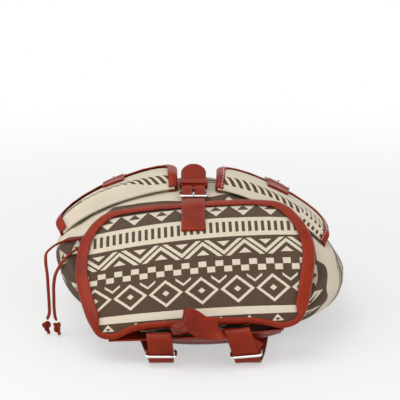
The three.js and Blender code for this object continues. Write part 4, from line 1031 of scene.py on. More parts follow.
def mouth_place(a, b):
    angle = 2 * math.pi * a
    reach, out, rise, pleat = (float(np.interp(b, MOUTH_PROFILE[:, 0], column)) for column in MOUTH_PROFILE.T[1:])
    rim = body_point(0, 4 * a) - mouth_middle
    outward = np.array([math.cos(angle), 0, 0]) + mouth_over * math.sin(angle)
    wave = pleat * (math.cos(PLEATS * angle + 0.5 * math.sin(3 * angle)) + 0.35 * math.cos(29 * angle + 1))
    flat = outward * NECK_RADIUS * (1 - reach) + rim * reach
    over_opening = reach > 0.02
    if over_opening:
        rise += wave
    else:
        out += wave
    return mouth_middle + flat + outward * out + mouth_up * rise


def mouth_cloth(a, b):
    return 2 * math.pi * a * 60, 1000 - 20 - b * 120


mouth = laid_grid("gathered_canvas_mouth", 208, 40, mouth_place, mouth_cloth, facing=tuple(mouth_up), joined=True)
thicken(mouth, 1.2)
settle(mouth, "bag", ["gathered_mouth"], [canvas_finish])

# %% Lace round the neck
lace_centre = mouth_middle + mouth_up * 13.4
ring_line = np.array([
    lace_centre + 23.6 * (np.array([math.cos(x), 0, 0]) + mouth_over * math.sin(x))
    + mouth_up * 0.5 * math.sin(5 * x) for x in np.linspace(0, 2 * math.pi, 97)[:-1]
])
neck_lace = tube("neck_lace", ring_line, lambda i: mouth_up, 3.6, 3.2, sides=8, closed=True)
settle(neck_lace, "bag", ["drawstring"], [strap_leather])
# %% [markdown]
# ## The lid's canvas
# The lid is one shaped piece of canvas. Its flat outline is a smooth closed curve through chosen points, as on
# a paper pattern, and a grid is fitted between the curve's near and far side, then laid over the bent surface.
# A knife cut through a square sheet would leave ragged corners along the curve.

# %% Outlines on a flat cloth
LID_OUTLINE = [
    (-64, 13), (-86, 5.5), (-101, 9), (-110, 25), (-118, 50), (-125, 91), (-120, 136), (-108, 163), (-91, 180),
    (-68, 185), (0, 185), (76, 185), (100, 179), (116, 161), (128, 131), (132, 100), (126, 62), (117, 27),
    (108, 11), (93, 5.5), (64, 12), (0, 14),
]
lid_edge = spaced(smooth_line(LID_OUTLINE, 1200, closed=True), 252)[:-1]
print(f"the lid's edge is {length_of(lid_edge):.0f} mm long")


# %% Cloth cut to an outline
def inward(outline, closed):
    """The direction into the cloth at each point of its outline, which runs clockwise."""
    if closed:
        step = np.roll(outline, -1, axis=0) - np.roll(outline, 1, axis=0)
    else:
        step = np.gradient(outline, axis=0)
    step /= np.linalg.norm(step, axis=1)[:, None]
    return np.column_stack([step[:, 1], -step[:, 0]])


def crossing(outline, x):
    """Where a line across the outline enters and leaves it."""
    nxt = np.roll(outline, -1, axis=0)
    hit = (outline[:, 0] <= x) != (nxt[:, 0] <= x)
    p, r = outline[hit], nxt[hit]
    ys = p[:, 1] + (r[:, 1] - p[:, 1]) * (x - p[:, 0]) / (r[:, 0] - p[:, 0])
    return ys.min(), ys.max()


def cut_cloth(name, outline, inset, columns, rows, surface, cloth, facing):
    """Cloth cut to an outline and laid on surface(x, y, off)."""
    edge = outline + inward(outline, True) * inset
    low, high = edge[:, 0].min(), edge[:, 0].max()
    known = {}

    def flat(a, b):
        column = round(a * columns)
        if column not in known:
            x = low + (high - low) * (0.5 + 0.4985 * math.sin((a - 0.5) * math.pi))
            known[column] = (x, *crossing(edge, x))
        x, y0, y1 = known[column]
        return x, y0 + (y1 - y0) * b

    return laid_grid(name, columns, rows, lambda a, b: surface(*flat(a, b)), lambda a, b: cloth(*flat(a, b)), facing)


# %% Lid canvas
def lid_cloth(u, v):
    return u, v - u * 0.042 * float(smooth((v - 25) / 90))


def lid_surface(u, v):
    puff = 0.45 * math.sin(u / 21 + 0.6) * math.sin(v / 27) + 0.3 * math.sin(u / 9 + v / 13)
    return lid_point(u, v, 0.25 * puff - 0.1)


lid = cut_cloth("canvas_lid", lid_edge, 2.6, 84, 60, lid_surface, lid_cloth, facing=(0, -0.5, 0.8))
thicken(lid, 2.0)
settle(lid, "bag", ["lid_panel"], [canvas_finish])

# %% [markdown]
# ## Bindings
# The edges of the lid and the flaps are wrapped in a strip of leather. It is a narrow grid that goes over the
# edge and back underneath, with a rounded fold, because a sharp one would look like sheet metal. A ripple of a
# tenth of a millimetre keeps it from looking moulded.

# %% Binding folded over an edge
FOLD_OFF = 2.1


def edge_binding(name, outline, closed, widths, surface, facing, nodes):
    """A strip folded over the cloth's edge: down one side, round the fold and back along the other."""
    into = inward(outline, closed)
    high, low = FOLD_OFF, -(CANVAS + FOLD_OFF)
    middle, reach = (high + low) / 2, (high - low) / 2
    bend = [(3.0 - 3.0 * math.sin(x), middle + reach * math.cos(x)) for x in np.linspace(0, math.pi, 9)]
    flank = [(1.0, high - 0.55), (0.88, high - 0.1), (0.62, high)]
    under = [(0.62, low), (1.0, low + 0.3)]
    count = len(outline)
    rows = count if closed else count - 1
    spans = len(flank) + len(bend) + len(under) - 1
    walked = walk(outline)

    def place(a, b):
        i = round(b * rows) % count
        over, below = ([(share * widths[i], off) for share, off in part] for part in (flank, under))
        d, off = [*over, *bend, *below][round(a * spans)]
        ripple = 0.12 * math.sin(i * 0.9) + 0.1 * math.sin(i * 0.37)
        x, y = outline[i] + into[i] * d
        return surface(x, y, off + (ripple if off > 0 else 0))

    def cloth(a, b):
        return a * 25, walked[min(round(b * count), count - 1)]

    piece = laid_grid(name, spans, rows, place, cloth, facing, joined=closed)
    thicken(piece, 1.15)
    settle(piece, "bag", nodes, [binding_leather])


# the binding is narrow along the hinge edge, where the yoke's leather meets it


lid_binding_widths = 5.0 + 7.5 * smooth((lid_edge[:, 1] - 12) / 22)
edge_binding("bound_lid_edge", lid_edge, True, lid_binding_widths, lid_point, (0, -0.5, 0.8), ["lid_binding"])

# %% [markdown]
# ## Stitches
# Every leather edge is sewn down by machine, about six stitches to the inch. A line drawn in the material
# would not catch the light, so each stitch is a tiny flattened bead of thread, modelled once from a sphere of
# few faces and copied along the seam, with a short gap where the thread dives into the hide.

# %% One stitch, copied along a seam
bpy.ops.object.select_all(action="DESELECT")
bpy.ops.mesh.primitive_uv_sphere_add(segments=6, ring_count=4, radius=1)
stitch = bpy.context.object
stitch_points = np.array([v.co for v in stitch.data.vertices])
stitch_faces = [tuple(f.vertices) for f in stitch.data.polygons]
bpy.data.objects.remove(stitch)
print("one stitch has", len(stitch_faces), "faces")


# %% A row of stitches
STITCH_PITCH, STITCH_LONG, STITCH_THICK = 4.2, 3.0, 0.75


def sew(name, line, out, thread):
    """A row of stitches along a line of points; out is the direction away from the hide at each point."""
    line, out = np.asarray(line, float), np.asarray(out, float)
    walked, total = walk(line), length_of(line)
    count = max(2, int(total / STITCH_PITCH))
    points, faces = [], []
    for k in range(count):
        at = (k + 0.5) * total / count
        ends = [np.array([np.interp(at + half, walked, axis) for axis in line.T])
                for half in (-STITCH_LONG / 2, STITCH_LONG / 2)]
        up = unit(np.array([np.interp(at, walked, axis) for axis in out.T]))
        along = unit(ends[1] - ends[0])
        across = unit(np.cross(up, along))
        middle = (ends[0] + ends[1]) / 2 + up * 0.12
        shape = stitch_points[:, :1] * across * STITCH_THICK / 2 + stitch_points[:, 1:2] * up * STITCH_THICK * 0.42
        shape = shape + stitch_points[:, 2:] * along * STITCH_LONG / 2
        faces += [tuple(i + len(points) for i in face) for face in stitch_faces]
        points += list(metres(middle + shape))
    mesh = bpy.data.meshes.new(name)
    mesh.from_pydata([tuple(p) for p in points], [], faces)
    mesh.update()
    piece = bpy.data.objects.new(name, mesh)
    bpy.context.scene.collection.objects.link(piece)
    face_outwards(piece)
    bpy.ops.object.shade_smooth()
    settle(piece, "bag", [], [thread])


def sew_outline(name, outline, closed, inset, off, surface, thread):
    into = inward(outline, closed)
    flat = outline + into * np.broadcast_to(inset, len(outline))[:, None]
    if closed:
        flat = np.vstack([flat, flat[:1]])
    line = np.array([surface(x, y, off) for x, y in flat])
    lifted = np.array([surface(x, y, off + 1) for x, y in flat])
    sew(name, line, lifted - line, thread)


sew_outline("lid_edge_stitches", lid_edge, True, lid_binding_widths - 2.3, 2.15, lid_point, red_thread)

# %% [markdown]
# ## Straps
# A strap is a flat grid laid along a line, with a direction across it at every station, then given the hide's
# thickness, cut through with punched holes, and its long edges rounded. The cut edge takes its own paler
# finish. A bevelled curve would be quicker but twists in the wrong places and can't be punched.


# %% Strips of leather
def stations_line(stations, samples):
    """Centres and directions across, made smooth between chosen stations."""
    centres = smooth_line([s[0] for s in stations], samples)
    acrosses = []
    last = len(stations) - 1
    for x in np.linspace(0, last, samples + 1):
        i = min(int(x), last - 1)
        f = float(smooth(x - i))
        acrosses.append(unit(stations[i][1] * (1 - f) + stations[i + 1][1] * f))
    return centres, np.array(acrosses)


def strip(name, centres, acrosses, widths, thickness, nodes, crown=0.0, holes=(), columns=6):
    """A strip of leather along a line; crown lifts its middle, and holes are (place, out, across, radius, slot)."""
    count = len(centres)
    widths = np.broadcast_to(widths, (count,))
    walked = walk(centres)
    frames = frames_along(centres, acrosses)

    def place(a, b):
        i = round(b * (count - 1))
        side, face = frames[i]
        return centres[i] + side * ((a - 0.5) * widths[i]) + face * (crown * (0.5 - (2 * a - 1) ** 2))

    def cloth(a, b):
        i = round(b * (count - 1))
        return (a - 0.5) * widths[i], walked[i]

    piece = laid_grid(name, columns, count - 1, place, cloth, facing=sum(face for _, face in frames))
    thicken(piece, thickness, offset=0.0, rim=1)
    for hole in holes:
        punch(piece, *hole)
    soften(piece, 0.45)
    settle(piece, "bag", nodes, [strap_leather, cut_edge])


# %% Punched holes
def punch(piece, spot, out, across, radius, slot):
    """A round hole, or one lengthened to a slot along the strap, cut through with a cylinder."""
    along = unit(np.cross(out, across))
    bpy.ops.object.select_all(action="DESELECT")
    bpy.ops.mesh.primitive_cylinder_add(vertices=20, radius=1, depth=2)
    cutter = bpy.context.object
    shape = np.array([v.co for v in cutter.data.vertices])
    stretch = shape[:, 1] * radius + np.sign(shape[:, 1]) * slot
    points = spot + shape[:, :1] * across * radius + stretch[:, None] * along + shape[:, 2:] * out * 4
    cutter.data.vertices.foreach_set("co", metres(points).ravel())
    cutter.data.update()
    face_outwards(cutter)
    apply_modifier(piece, "BOOLEAN", object=cutter, operation="DIFFERENCE", solver="EXACT")
    bpy.data.objects.remove(cutter)


# %% Seams in a strap
def sew_strip(name, centres, acrosses, inset, start, stop):
    """Rows of stitches inside both edges of a strap."""
    frames = frames_along(centres, acrosses)[start:stop]
    for way, label in ((-1, "left"), (1, "right")):
        line = [centre + side * way * (STRAP_W / 2 - inset) + face * (STRAP_T / 2 + 0.1)
                for centre, (side, face) in zip(centres[start:stop], frames)]
        sew(f"{name}_{label}", line, [face for _, face in frames], red_thread)


# %% [markdown]
# ## Wire frames
# Buckles and slides are steel wire bent round to a rectangle with small round corners. Blender's torus already
# is a wire bent to a ring, so each starts as one, and its rings are moved to the rectangle. On the real ones,
# the joint where the wire's ends meet lies under the leather.


# %% Round corners
def round_rectangle(width, height, corner, turns, between=()):
    """Points round a rectangle with round corners; between holds shares along each straight side."""
    arcs = []
    for k, (x, y) in enumerate([(1, 1), (-1, 1), (-1, -1), (1, -1)]):
        angles = (k + np.linspace(0, 1, turns)) * math.pi / 2
        arcs.append([np.array([x * (width / 2 - corner) + corner * math.cos(angle),
                               y * (height / 2 - corner) + corner * math.sin(angle)]) for angle in angles])
    path = []
    for arc, following in zip(arcs, arcs[1:] + arcs[:1]):
        path += [*arc, *(arc[-1] + (following[0] - arc[-1]) * share for share in between)]
    return path


# %% Wire bent to a rectangle
WIRE_SIDES = 12


def wire_frame(name, middle, wide, long, width, length, corner, node):
    path = round_rectangle(width, length, corner, turns=7, between=(0.2, 0.4, 0.6, 0.8))
    line = np.array([middle + wide * x + long * y for x, y in path])
    face = unit(np.cross(wide, long))
    count = len(line)
    bpy.ops.object.select_all(action="DESELECT")
    bpy.ops.mesh.primitive_torus_add(major_segments=count, minor_segments=WIRE_SIDES, minor_radius=0.1)
    piece = bpy.context.object
    piece.name = piece.data.name = name
    points = []
    for i in range(count):
        side = np.cross(face, unit(line[(i + 1) % count] - line[i - 1]))
        for angle in np.linspace(0, 2 * math.pi, WIRE_SIDES + 1)[:-1]:
            points.append(line[i] + (side * math.cos(angle) + face * math.sin(angle)) * WIRE / 2)
    piece.data.vertices.foreach_set("co", metres(points).ravel())
    piece.data.update()
    face_outwards(piece)
    bpy.ops.object.shade_smooth()
    settle(piece, "bag", [node], [steel])


# %% [markdown]
# ## The three closures
# Each closure has the same five parts. A tab of leather is sewn to the bag and folded round the back bar of a
# wire frame. A prong turns on that bar and lies on the front bar. The strap comes in under the front bar, over
# the back bar and the prong comes up through one of its holes. A keeper, a loop of leather, holds its tip. The
# parts are set out in a small frame of their own: across the strap, along it, and out from the bag. That is
# written once and used three times.

# %% Heights inside a closure
FRAME_LENGTH, PRONG_W, HUB_WALL, KEEPER_W, KEEPER_WALL, KEEPER_AT = 20.0, 2.2, 1.5, 9.0, 1.5, 9.0
BAR_HEIGHT = GAP + HIDE + GAP + WIRE / 2
FOLD_RADIUS = WIRE / 2 + GAP + HIDE / 2
STRAP_OVER_BAR = BAR_HEIGHT + FOLD_RADIUS + HIDE / 2 + GAP + STRAP_T / 2
KEEPER_LEG = 2 * GAP + HIDE + KEEPER_WALL / 2
LEAF_OVER_LEG = KEEPER_LEG + KEEPER_WALL / 2 + GAP + HIDE / 2
STRAP_AT_KEEPER = LEAF_OVER_LEG + HIDE / 2 + GAP + STRAP_T / 2
STRAP_AT_FRONT = 6.3
FRONT_BAR = STRAP_AT_FRONT + STRAP_T / 2 + GAP + WIRE / 2
BAR_SPACING = FRAME_LENGTH - WIRE
HUB_OUTER = WIRE / 2 + GAP + HUB_WALL
TAB_LENGTH, TAB_LOW, KEEPER_END = 40, GAP + HIDE / 2, KEEPER_AT + KEEPER_W
TIP_W = STRAP_W + 3
print(f"bar {BAR_HEIGHT:.1f} mm up, strap over it {STRAP_OVER_BAR:.1f} mm up")


# %% A closure's own frame
class Seat:
    """Where a closure sits: x across the strap, s along it from the back bar, h out from the bag."""

    def __init__(self, name, skin, side):
        self.name, self.origin = name, skin(0)
        self.travel = unit(skin(6) - skin(-6))
        self.across = unit(side - self.travel * side.dot(self.travel))
        self.out = np.cross(self.across, self.travel)
        probes = [skin(-BAR_SPACING * 1.4 + k * 4) - self.origin for k in range(25)]
        self.table = np.array([(probe.dot(self.travel), probe.dot(self.out)) for probe in probes])

    def ground(self, s):
        """Height of the bag's cloth under the closure."""
        return float(np.interp(s, self.table[:, 0], self.table[:, 1]))

    def at(self, s, h, x=0.0):
        return self.origin + self.across * x + self.travel * s + self.out * h

    def station(self, s, h):
        return self.at(s, h), self.across

    def grounded(self, s, h):
        return self.station(s, self.ground(s) + h)


# %% Tab, folded round the back bar
def closure_tab(seat):
    under = [seat.grounded(TAB_LENGTH * share, TAB_LOW) for share in (1, 0.8, 0.6, 0.4, 0.2)]
    fold = [seat.station(FOLD_RADIUS * math.cos(angle), BAR_HEIGHT + FOLD_RADIUS * math.sin(angle))
            for angle in np.linspace(-math.pi / 2, -1.5 * math.pi, 9)]
    top = TAB_LOW + HIDE + GAP
    leaf = [seat.grounded(s, h) for s, h in (
        (KEEPER_AT - 2, LEAF_OVER_LEG), (KEEPER_AT + KEEPER_W / 2, LEAF_OVER_LEG), (KEEPER_END + 1, LEAF_OVER_LEG),
        (KEEPER_END + 6, top), (TAB_LENGTH - 1, top))]
    centres, acrosses = (np.array(part) for part in zip(*under, *fold, *leaf))
    slot = (seat.at(0, BAR_HEIGHT), seat.out, seat.across, PRONG_W / 2 + 1, 4.2)
    strip(f"{seat.name}_tab", centres, acrosses, STRAP_W, HIDE, [f"{seat.name}_buckle_tab"], holes=[slot], columns=4)
    for label, s, reach in (("tab_seam", 25, 10), ("tab_foot_seam", 36, -10)):
        line = [seat.at(s, seat.ground(s) + top + HIDE / 2 + 0.1, x) for x in np.linspace(-reach, reach, 7)]
        sew(f"{seat.name}_{label}", line, [seat.out] * len(line), red_thread)


# %% Wire frame and prong
def closure_frame(seat):
    climb = FRONT_BAR - BAR_HEIGHT
    tilt = unit(-seat.travel * BAR_SPACING + seat.out * climb)
    middle = seat.at(-BAR_SPACING / 2, (FRONT_BAR + BAR_HEIGHT) / 2)
    wire_frame(f"{seat.name}_frame", middle, seat.across, tilt, STRAP_W + 1 + WIRE, math.hypot(BAR_SPACING, climb),
               2.6, f"{seat.name}_buckle_frame")


def closure_prong(seat):
    hub_top = BAR_HEIGHT + HUB_OUTER * 0.35
    rise = FRONT_BAR + WIRE / 2 + GAP + PRONG_W / 2
    tongue_line = smooth_line([
        seat.at(-HUB_OUTER * 0.75, hub_top),
        seat.at(-BAR_SPACING * 0.62, hub_top + (rise - hub_top) * 0.66),
        seat.at(-BAR_SPACING + 1, rise + 0.2),
        seat.at(-BAR_SPACING - WIRE * 0.7, rise),
    ], 24)
    round_bar = HUB_OUTER - HUB_WALL / 2
    hub_line = [seat.at(round_bar * math.cos(x), BAR_HEIGHT + round_bar * math.sin(x))
                for x in np.linspace(0, 2 * math.pi, 33)[:-1]]
    name = f"{seat.name}_prong"
    tongue = tube(f"{name}_tongue", tongue_line, lambda i: seat.across, PRONG_W, PRONG_W, sides=12)
    hub = tube(f"{name}_hub", hub_line, lambda i: seat.across, PRONG_W, HUB_WALL, closed=True)
    for piece in (tongue, hub):
        settle(piece, name, [name], [steel])


# %% Strap with its holes and rounded tip
HOLE_RADIUS, HOLE_PITCH, SLOT_AT = 2.1, 13, -BAR_SPACING * 0.5


def rounded_tip(centres, acrosses):
    """The last stretch of a strap flares a little and ends in a half circle."""
    end, radius = centres[-1], TIP_W / 2
    far = np.linalg.norm(centres - end, axis=1)
    keep = far > radius
    flares = [1 - float(smooth(d / (2.4 * radius) - 0.4)) for d in far[keep]]
    widths = [STRAP_W + (TIP_W - STRAP_W) * flare for flare in flares]
    start, across = centres[keep][-1], acrosses[keep][-1]
    shares = (0.15, 0.3, 0.43, 0.55, 0.66, 0.75, 0.83, 0.9, 0.95, 0.985)
    tip = [start + (end - start) * share for share in shares]
    widths += [TIP_W * math.sqrt(1 - share**2) for share in shares]
    return np.vstack([centres[keep], tip]), np.vstack([acrosses[keep], [across] * len(shares)]), np.array(widths)


def closure_strap(seat, lead, tip_height):
    knots = [
        *lead,
        seat.station(-BAR_SPACING - 1, STRAP_AT_FRONT),
        seat.station(-BAR_SPACING * 0.8, STRAP_AT_FRONT),
        seat.station(-BAR_SPACING * 0.35, STRAP_AT_FRONT + (STRAP_OVER_BAR - STRAP_AT_FRONT) * 0.65),
        seat.station(0, STRAP_OVER_BAR),
        seat.grounded(KEEPER_AT, STRAP_AT_KEEPER),
        seat.grounded(KEEPER_END, STRAP_AT_KEEPER),
        seat.station(KEEPER_END + 27, tip_height),
    ]
    centres, acrosses, widths = rounded_tip(*stations_line(knots, 90))
    holes = [(seat.at(SLOT_AT, STRAP_AT_FRONT + 1), seat.out, seat.across, HOLE_RADIUS, 3.7)]
    for k in (1, 2):
        spot = seat.at(SLOT_AT + k * HOLE_PITCH, STRAP_OVER_BAR)
        holes.append((spot, seat.out, seat.across, HOLE_RADIUS, 0))
    name = f"{seat.name}_strap"
    strip(f"{seat.name}_closing_strap", centres, acrosses, widths, STRAP_T, [name], holes=holes, crown=0.35)
    sewn = max(3, round(len(centres) * 0.16))
    sew_strip(f"{name}_seam", centres, acrosses, 2.2, 1, sewn)


# %% Keeper
def closure_keeper(seat):
    near, far = (seat.at(s, seat.ground(s)) for s in (KEEPER_AT, KEEPER_END))
    line = unit(far - near)
    out = np.cross(seat.across, line)
    low, high = KEEPER_LEG, STRAP_AT_KEEPER + STRAP_T / 2 + 3 * GAP + KEEPER_WALL / 2
    middle = (low + high) / 2
    ring = round_rectangle(TIP_W + 2 * GAP + KEEPER_WALL, high - low, 1.6, turns=5)

    def place(a, b):
        x, h = ring[round(a * len(ring)) % len(ring)]
        pinch = 0.25 * math.cos(2 * math.pi * (b - 0.5)) if h > 0 else 0
        return near + seat.across * x + line * (KEEPER_W * b) + out * (middle + h + pinch)

    loop = laid_grid(f"{seat.name}_keeper_loop", len(ring), 6, place, lambda a, b: (a * 70, b * KEEPER_W),
                     joined=True)
    thicken(loop, KEEPER_WALL, offset=0.0, rim=1)
    soften(loop, 0.3)
    settle(loop, "bag", [f"{seat.name}_keeper"], [strap_leather, cut_edge])


def closure(name, skin, side, lead, tip_height):
    seat = Seat(name, skin, side)
    closure_tab(seat)
    closure_frame(seat)
    closure_prong(seat)
    closure_strap(seat, lead, tip_height)
    closure_keeper(seat)


# %% Lid closure
LID_BAR_RUN, LID_STRAP_ASIDE, STRAP_SEWN_AT, STRAP_FREE_AT = 66, -3, 130, 172.5


def lid_station(v, lift):
    z = float(np.interp(v, lid_v, lid_z)) - LID_HINGE[1]
    u = (LID_STRAP_ASIDE + z * math.sin(LID_ROLL)) / math.cos(LID_ROLL)
    return lid_point(u, v, lift), np.array([math.cos(LID_ROLL), 0, math.sin(LID_ROLL)])


on_lid = GAP + STRAP_T / 2
on_binding = on_lid + 0.7 + TRIM
sewn_length = STRAP_FREE_AT - STRAP_SEWN_AT
lid_lead = [lid_station(v, lift) for v, lift in (
    (STRAP_SEWN_AT, on_lid), (STRAP_SEWN_AT + 0.35 * sewn_length, on_lid),
    (STRAP_SEWN_AT + 0.75 * sewn_length, on_lid + 0.3), (STRAP_FREE_AT, on_binding + 0.3), (184, on_binding + 0.3))]
closure("lid", lambda s: front_skin(LID_BAR_RUN + s, LID_STRAP_ASIDE, 0), np.array([1.0, 0, 0]), lid_lead, 14.0)

# %% [markdown]
# ## Front pockets
# Two flat pockets are sewn to the front. Each is a shallow pouch of canvas that stands off the bag in the
# middle and meets it along its seams, under a flap that is hinged above its mouth and bound with leather on
# its three free sides, with white stitching along the binding. From the photograph's side we mostly see the
# flaps' near edges and the buckles, but the bag is looked at from above too.

# %% How high pouch and flap stand
POCKET_START, POCKET_LONG, POCKET_WIDE, POCKET_MIDDLE = 92.0, 140.0, 136.0, 93.0
FLAP_LONG, FLAP_START, FLAP_CORNER, FLAP_HALF = 62.0, 78.0, 24.0, 71.5
POCKET_SEAM, POCKET_DEPTH = 7, 10


def pouch_room(w, s):
    side = float(smooth((POCKET_WIDE / 2 - POCKET_SEAM - abs(w)) / 20))
    foot = float(smooth((POCKET_LONG - POCKET_SEAM - s) / 36))
    return GAP + POCKET_DEPTH * side * foot


def flap_underside(w, s):
    ramp = float(smooth((s + 14) / 14))
    foot = float(smooth((POCKET_LONG - POCKET_SEAM - s) / 36))
    edge = 1 - 0.35 * abs(w / FLAP_HALF) ** 4
    return 2 * GAP + TRIM + 0.7 + (GAP + CANVAS + POCKET_DEPTH * foot) * ramp * edge


# %% Pouch
def pouch(name, side, print_start, body_out):
    def place(a, b):
        w, s = (a - 0.5) * POCKET_WIDE, b * POCKET_LONG
        from_edge = min(POCKET_WIDE / 2 - abs(w), POCKET_LONG - s)
        near_seam = 1 - float(smooth((from_edge - 3) / 12))
        pucker = 0.35 * near_seam * math.sin((w + s) / 2.6)
        seam = -0.5 * math.exp(-((from_edge - 4) ** 2) / 2)
        slack = 0.8 * math.sin(w / 24 + s / 31) * (1 - near_seam) * float(smooth((s - 70) / 20))
        lift = pouch_room(w, s) + CANVAS + pucker + seam + slack
        return front_skin(POCKET_START + s, side * (POCKET_MIDDLE + w), lift)

    def cloth(a, b):
        return (a - 0.5) * POCKET_WIDE * side, print_start + b * POCKET_LONG

    piece = laid_grid(f"canvas_{name}_pouch", 60, 60, place, cloth, facing=body_out)
    thicken(piece, 2.0)
    settle(piece, "bag", [f"{name}_pocket"], [canvas_finish])


# %% Flap with its binding
EDGE_INSET = 2.6


def flap_outline():
    """Down one side, round both corners and up the other, from hinge to hinge."""
    side = [(-FLAP_HALF, s) for s in np.linspace(0, FLAP_LONG - FLAP_CORNER, 16)[:-1]]
    arc = [(-FLAP_HALF + FLAP_CORNER + FLAP_CORNER * math.cos(x), FLAP_LONG - FLAP_CORNER + FLAP_CORNER * math.sin(x))
           for x in np.linspace(math.pi, math.pi / 2, 17)]
    front = [(x, FLAP_LONG) for x in np.linspace(-FLAP_HALF + FLAP_CORNER, 0, 20)[1:]]
    left = [*side, *arc, *front]
    return np.array(left + [(-x, y) for x, y in left[-2::-1]])


def flap_cloth(aside, s):
    """The flap is cut askew, so its rows of print climb towards the sides."""
    return aside, 1398 + s - 9 * float(smooth((abs(aside) - 40) / 60)) * (1 if aside < 0 else 0.3)


def flap(name, side, place, body_out):
    outline = flap_outline()
    hinge = [(x, 0.0) for x in np.linspace(FLAP_HALF, -FLAP_HALF, 40)[1:-1]]
    edge = np.vstack([outline, hinge])
    edge[:, 0] *= 1 - EDGE_INSET / FLAP_HALF
    edge[:, 1] *= 1 - EDGE_INSET / FLAP_LONG
    piece = cut_cloth(f"canvas_{name}_flap", edge, 0.0, 60, 30,
                      lambda w, s: place(w, s, 0.2 * math.sin(w / 12) * math.sin(s / 9) - 0.1),
                      lambda w, s: flap_cloth(side * (POCKET_MIDDLE + w), s), body_out)
    thicken(piece, 2.0)
    settle(piece, "bag", [f"{name}_flap"], [canvas_finish])
    widths = np.full(len(outline), 9.0)
    edge_binding(f"bound_{name}_flap_edge", outline, False, widths, place, body_out, [f"{name}_flap_binding"])
    sew_outline(f"{name}_flap_stitches", outline, False, 7.2, 2.1, place, white_thread)


# %% Both pockets
def pocket(name, side, print_start):
    middle = side * POCKET_MIDDLE
    body_out = front_skin(130, middle, 1) - front_skin(130, middle, 0)
    pouch(name, side, print_start, body_out)

    def flap_place(w, s, off):
        return front_skin(FLAP_START + s, side * (POCKET_MIDDLE + w), flap_underside(w, s - 14) + CANVAS + off)

    flap(name, side, flap_place, body_out)

    bar_run = FLAP_START + FLAP_LONG + 25
    cross = front_skin(bar_run, middle + 4, 0) - front_skin(bar_run, middle - 4, 0)
    lead = []
    for s in (30, 40, 46, 52, 61):
        lift = on_lid + 0.3 + (0.7 + TRIM if s > 48 else 0)
        lead.append((flap_place(0, s, lift), unit(flap_place(4 * side, s, 0) - flap_place(-4 * side, s, 0))))

    def seat_skin(s):
        return front_skin(bar_run + s, middle, pouch_room(0, bar_run + s - POCKET_START) + CANVAS + 0.3)

    closure(f"{name}_pocket", seat_skin, unit(cross), lead, 10.5)


pocket("left", -1, 1540)
pocket("right", 1, 1736)

# %% [markdown]
# ## Back yoke and corner tabs
# Leather across the top of the back carries the lid, the handle and the shoulder straps, and two leather tabs
# near the base take the straps' lower ends. All three are flat pieces of hide, so they are grids laid on the
# back's surface, and the yoke's goes on round the fold to the lid's hinge edge.

# %% Yoke
YOKE_WIDE = 184


def yoke_rows(a):
    """Points from the lid's hinge edge, round the fold and down over the back, at one place across."""
    u = (a - 0.5) * YOKE_WIDE
    top = lid_point(u, 2 + 0.4 * float(smooth((abs(u) - 60) / 26)), -CANVAS / 2)
    back = [back_skin(run, u, 2 * GAP + HIDE / 2 + (GAP if run < 15 else 0)) for run in (12, 22, 34)]
    fold = (top + back[0]) / 2 + (0, -0.5, -1.5)
    return [top, fold, *back]


yoke_lines = [smooth_line(yoke_rows(column / 64), 20) for column in range(65)]


def flat_leather(name, columns, rows, place, cloth, facing, node):
    piece = laid_grid(name, columns, rows, place, cloth, facing)
    thicken(piece, HIDE, offset=0.0, rim=1)
    soften(piece, 0.35)
    settle(piece, "bag", [node], [strap_leather, cut_edge])


flat_leather("leather_yoke", 64, 20, lambda a, b: yoke_lines[round(a * 64)][round(b * 20)],
             lambda a, b: (a * YOKE_WIDE, b * 40), (0, -1, -0.6), "back_yoke")

# %% Corner tabs
CORNER_SIDE, CORNER_ASIDE, CORNER_FROM_BASE = 40, 80, 30
for way, name in ((-1, "left"), (1, "right")):
    def tab_place(a, b):
        run = BACK_LENGTH - CORNER_FROM_BASE + (b - 0.5) * CORNER_SIDE
        return back_skin(run, way * CORNER_ASIDE + (a - 0.5) * CORNER_SIDE, GAP + HIDE / 2)

    flat_leather(f"leather_{name}_corner", 12, 12, tab_place, lambda a, b: (a * CORNER_SIDE, b * CORNER_SIDE),
                 (0, 0.3, -1), f"{name}_corner_tab")

# %% [markdown]
# ## Shoulder straps
# Under the bag the straps lie flat on the floor, from the corner tabs to the top edge. Behind the lid they come
# out, turn down and pass through wire slides, with their spare ends folded back. Each is one strip along chosen
# stations: a point, and the direction across the strap there.

# %% Stations of the shoulder straps
FLOOR_LAYER = STRAP_T / 2


def listed(rows):
    return [(np.array(row[:3], float), unit(np.array(row[3:], float))) for row in rows]


def strap_end(side):
    ends = []
    for from_tab in (26, 14):
        run = BACK_LENGTH - CORNER_FROM_BASE - from_tab + 12
        here, near, far = (back_skin(run, side * CORNER_ASIDE + w, 3 * GAP + HIDE + STRAP_T / 2) for w in (0, -4, 4))
        ends.append((here, unit(far - near)))
    return ends


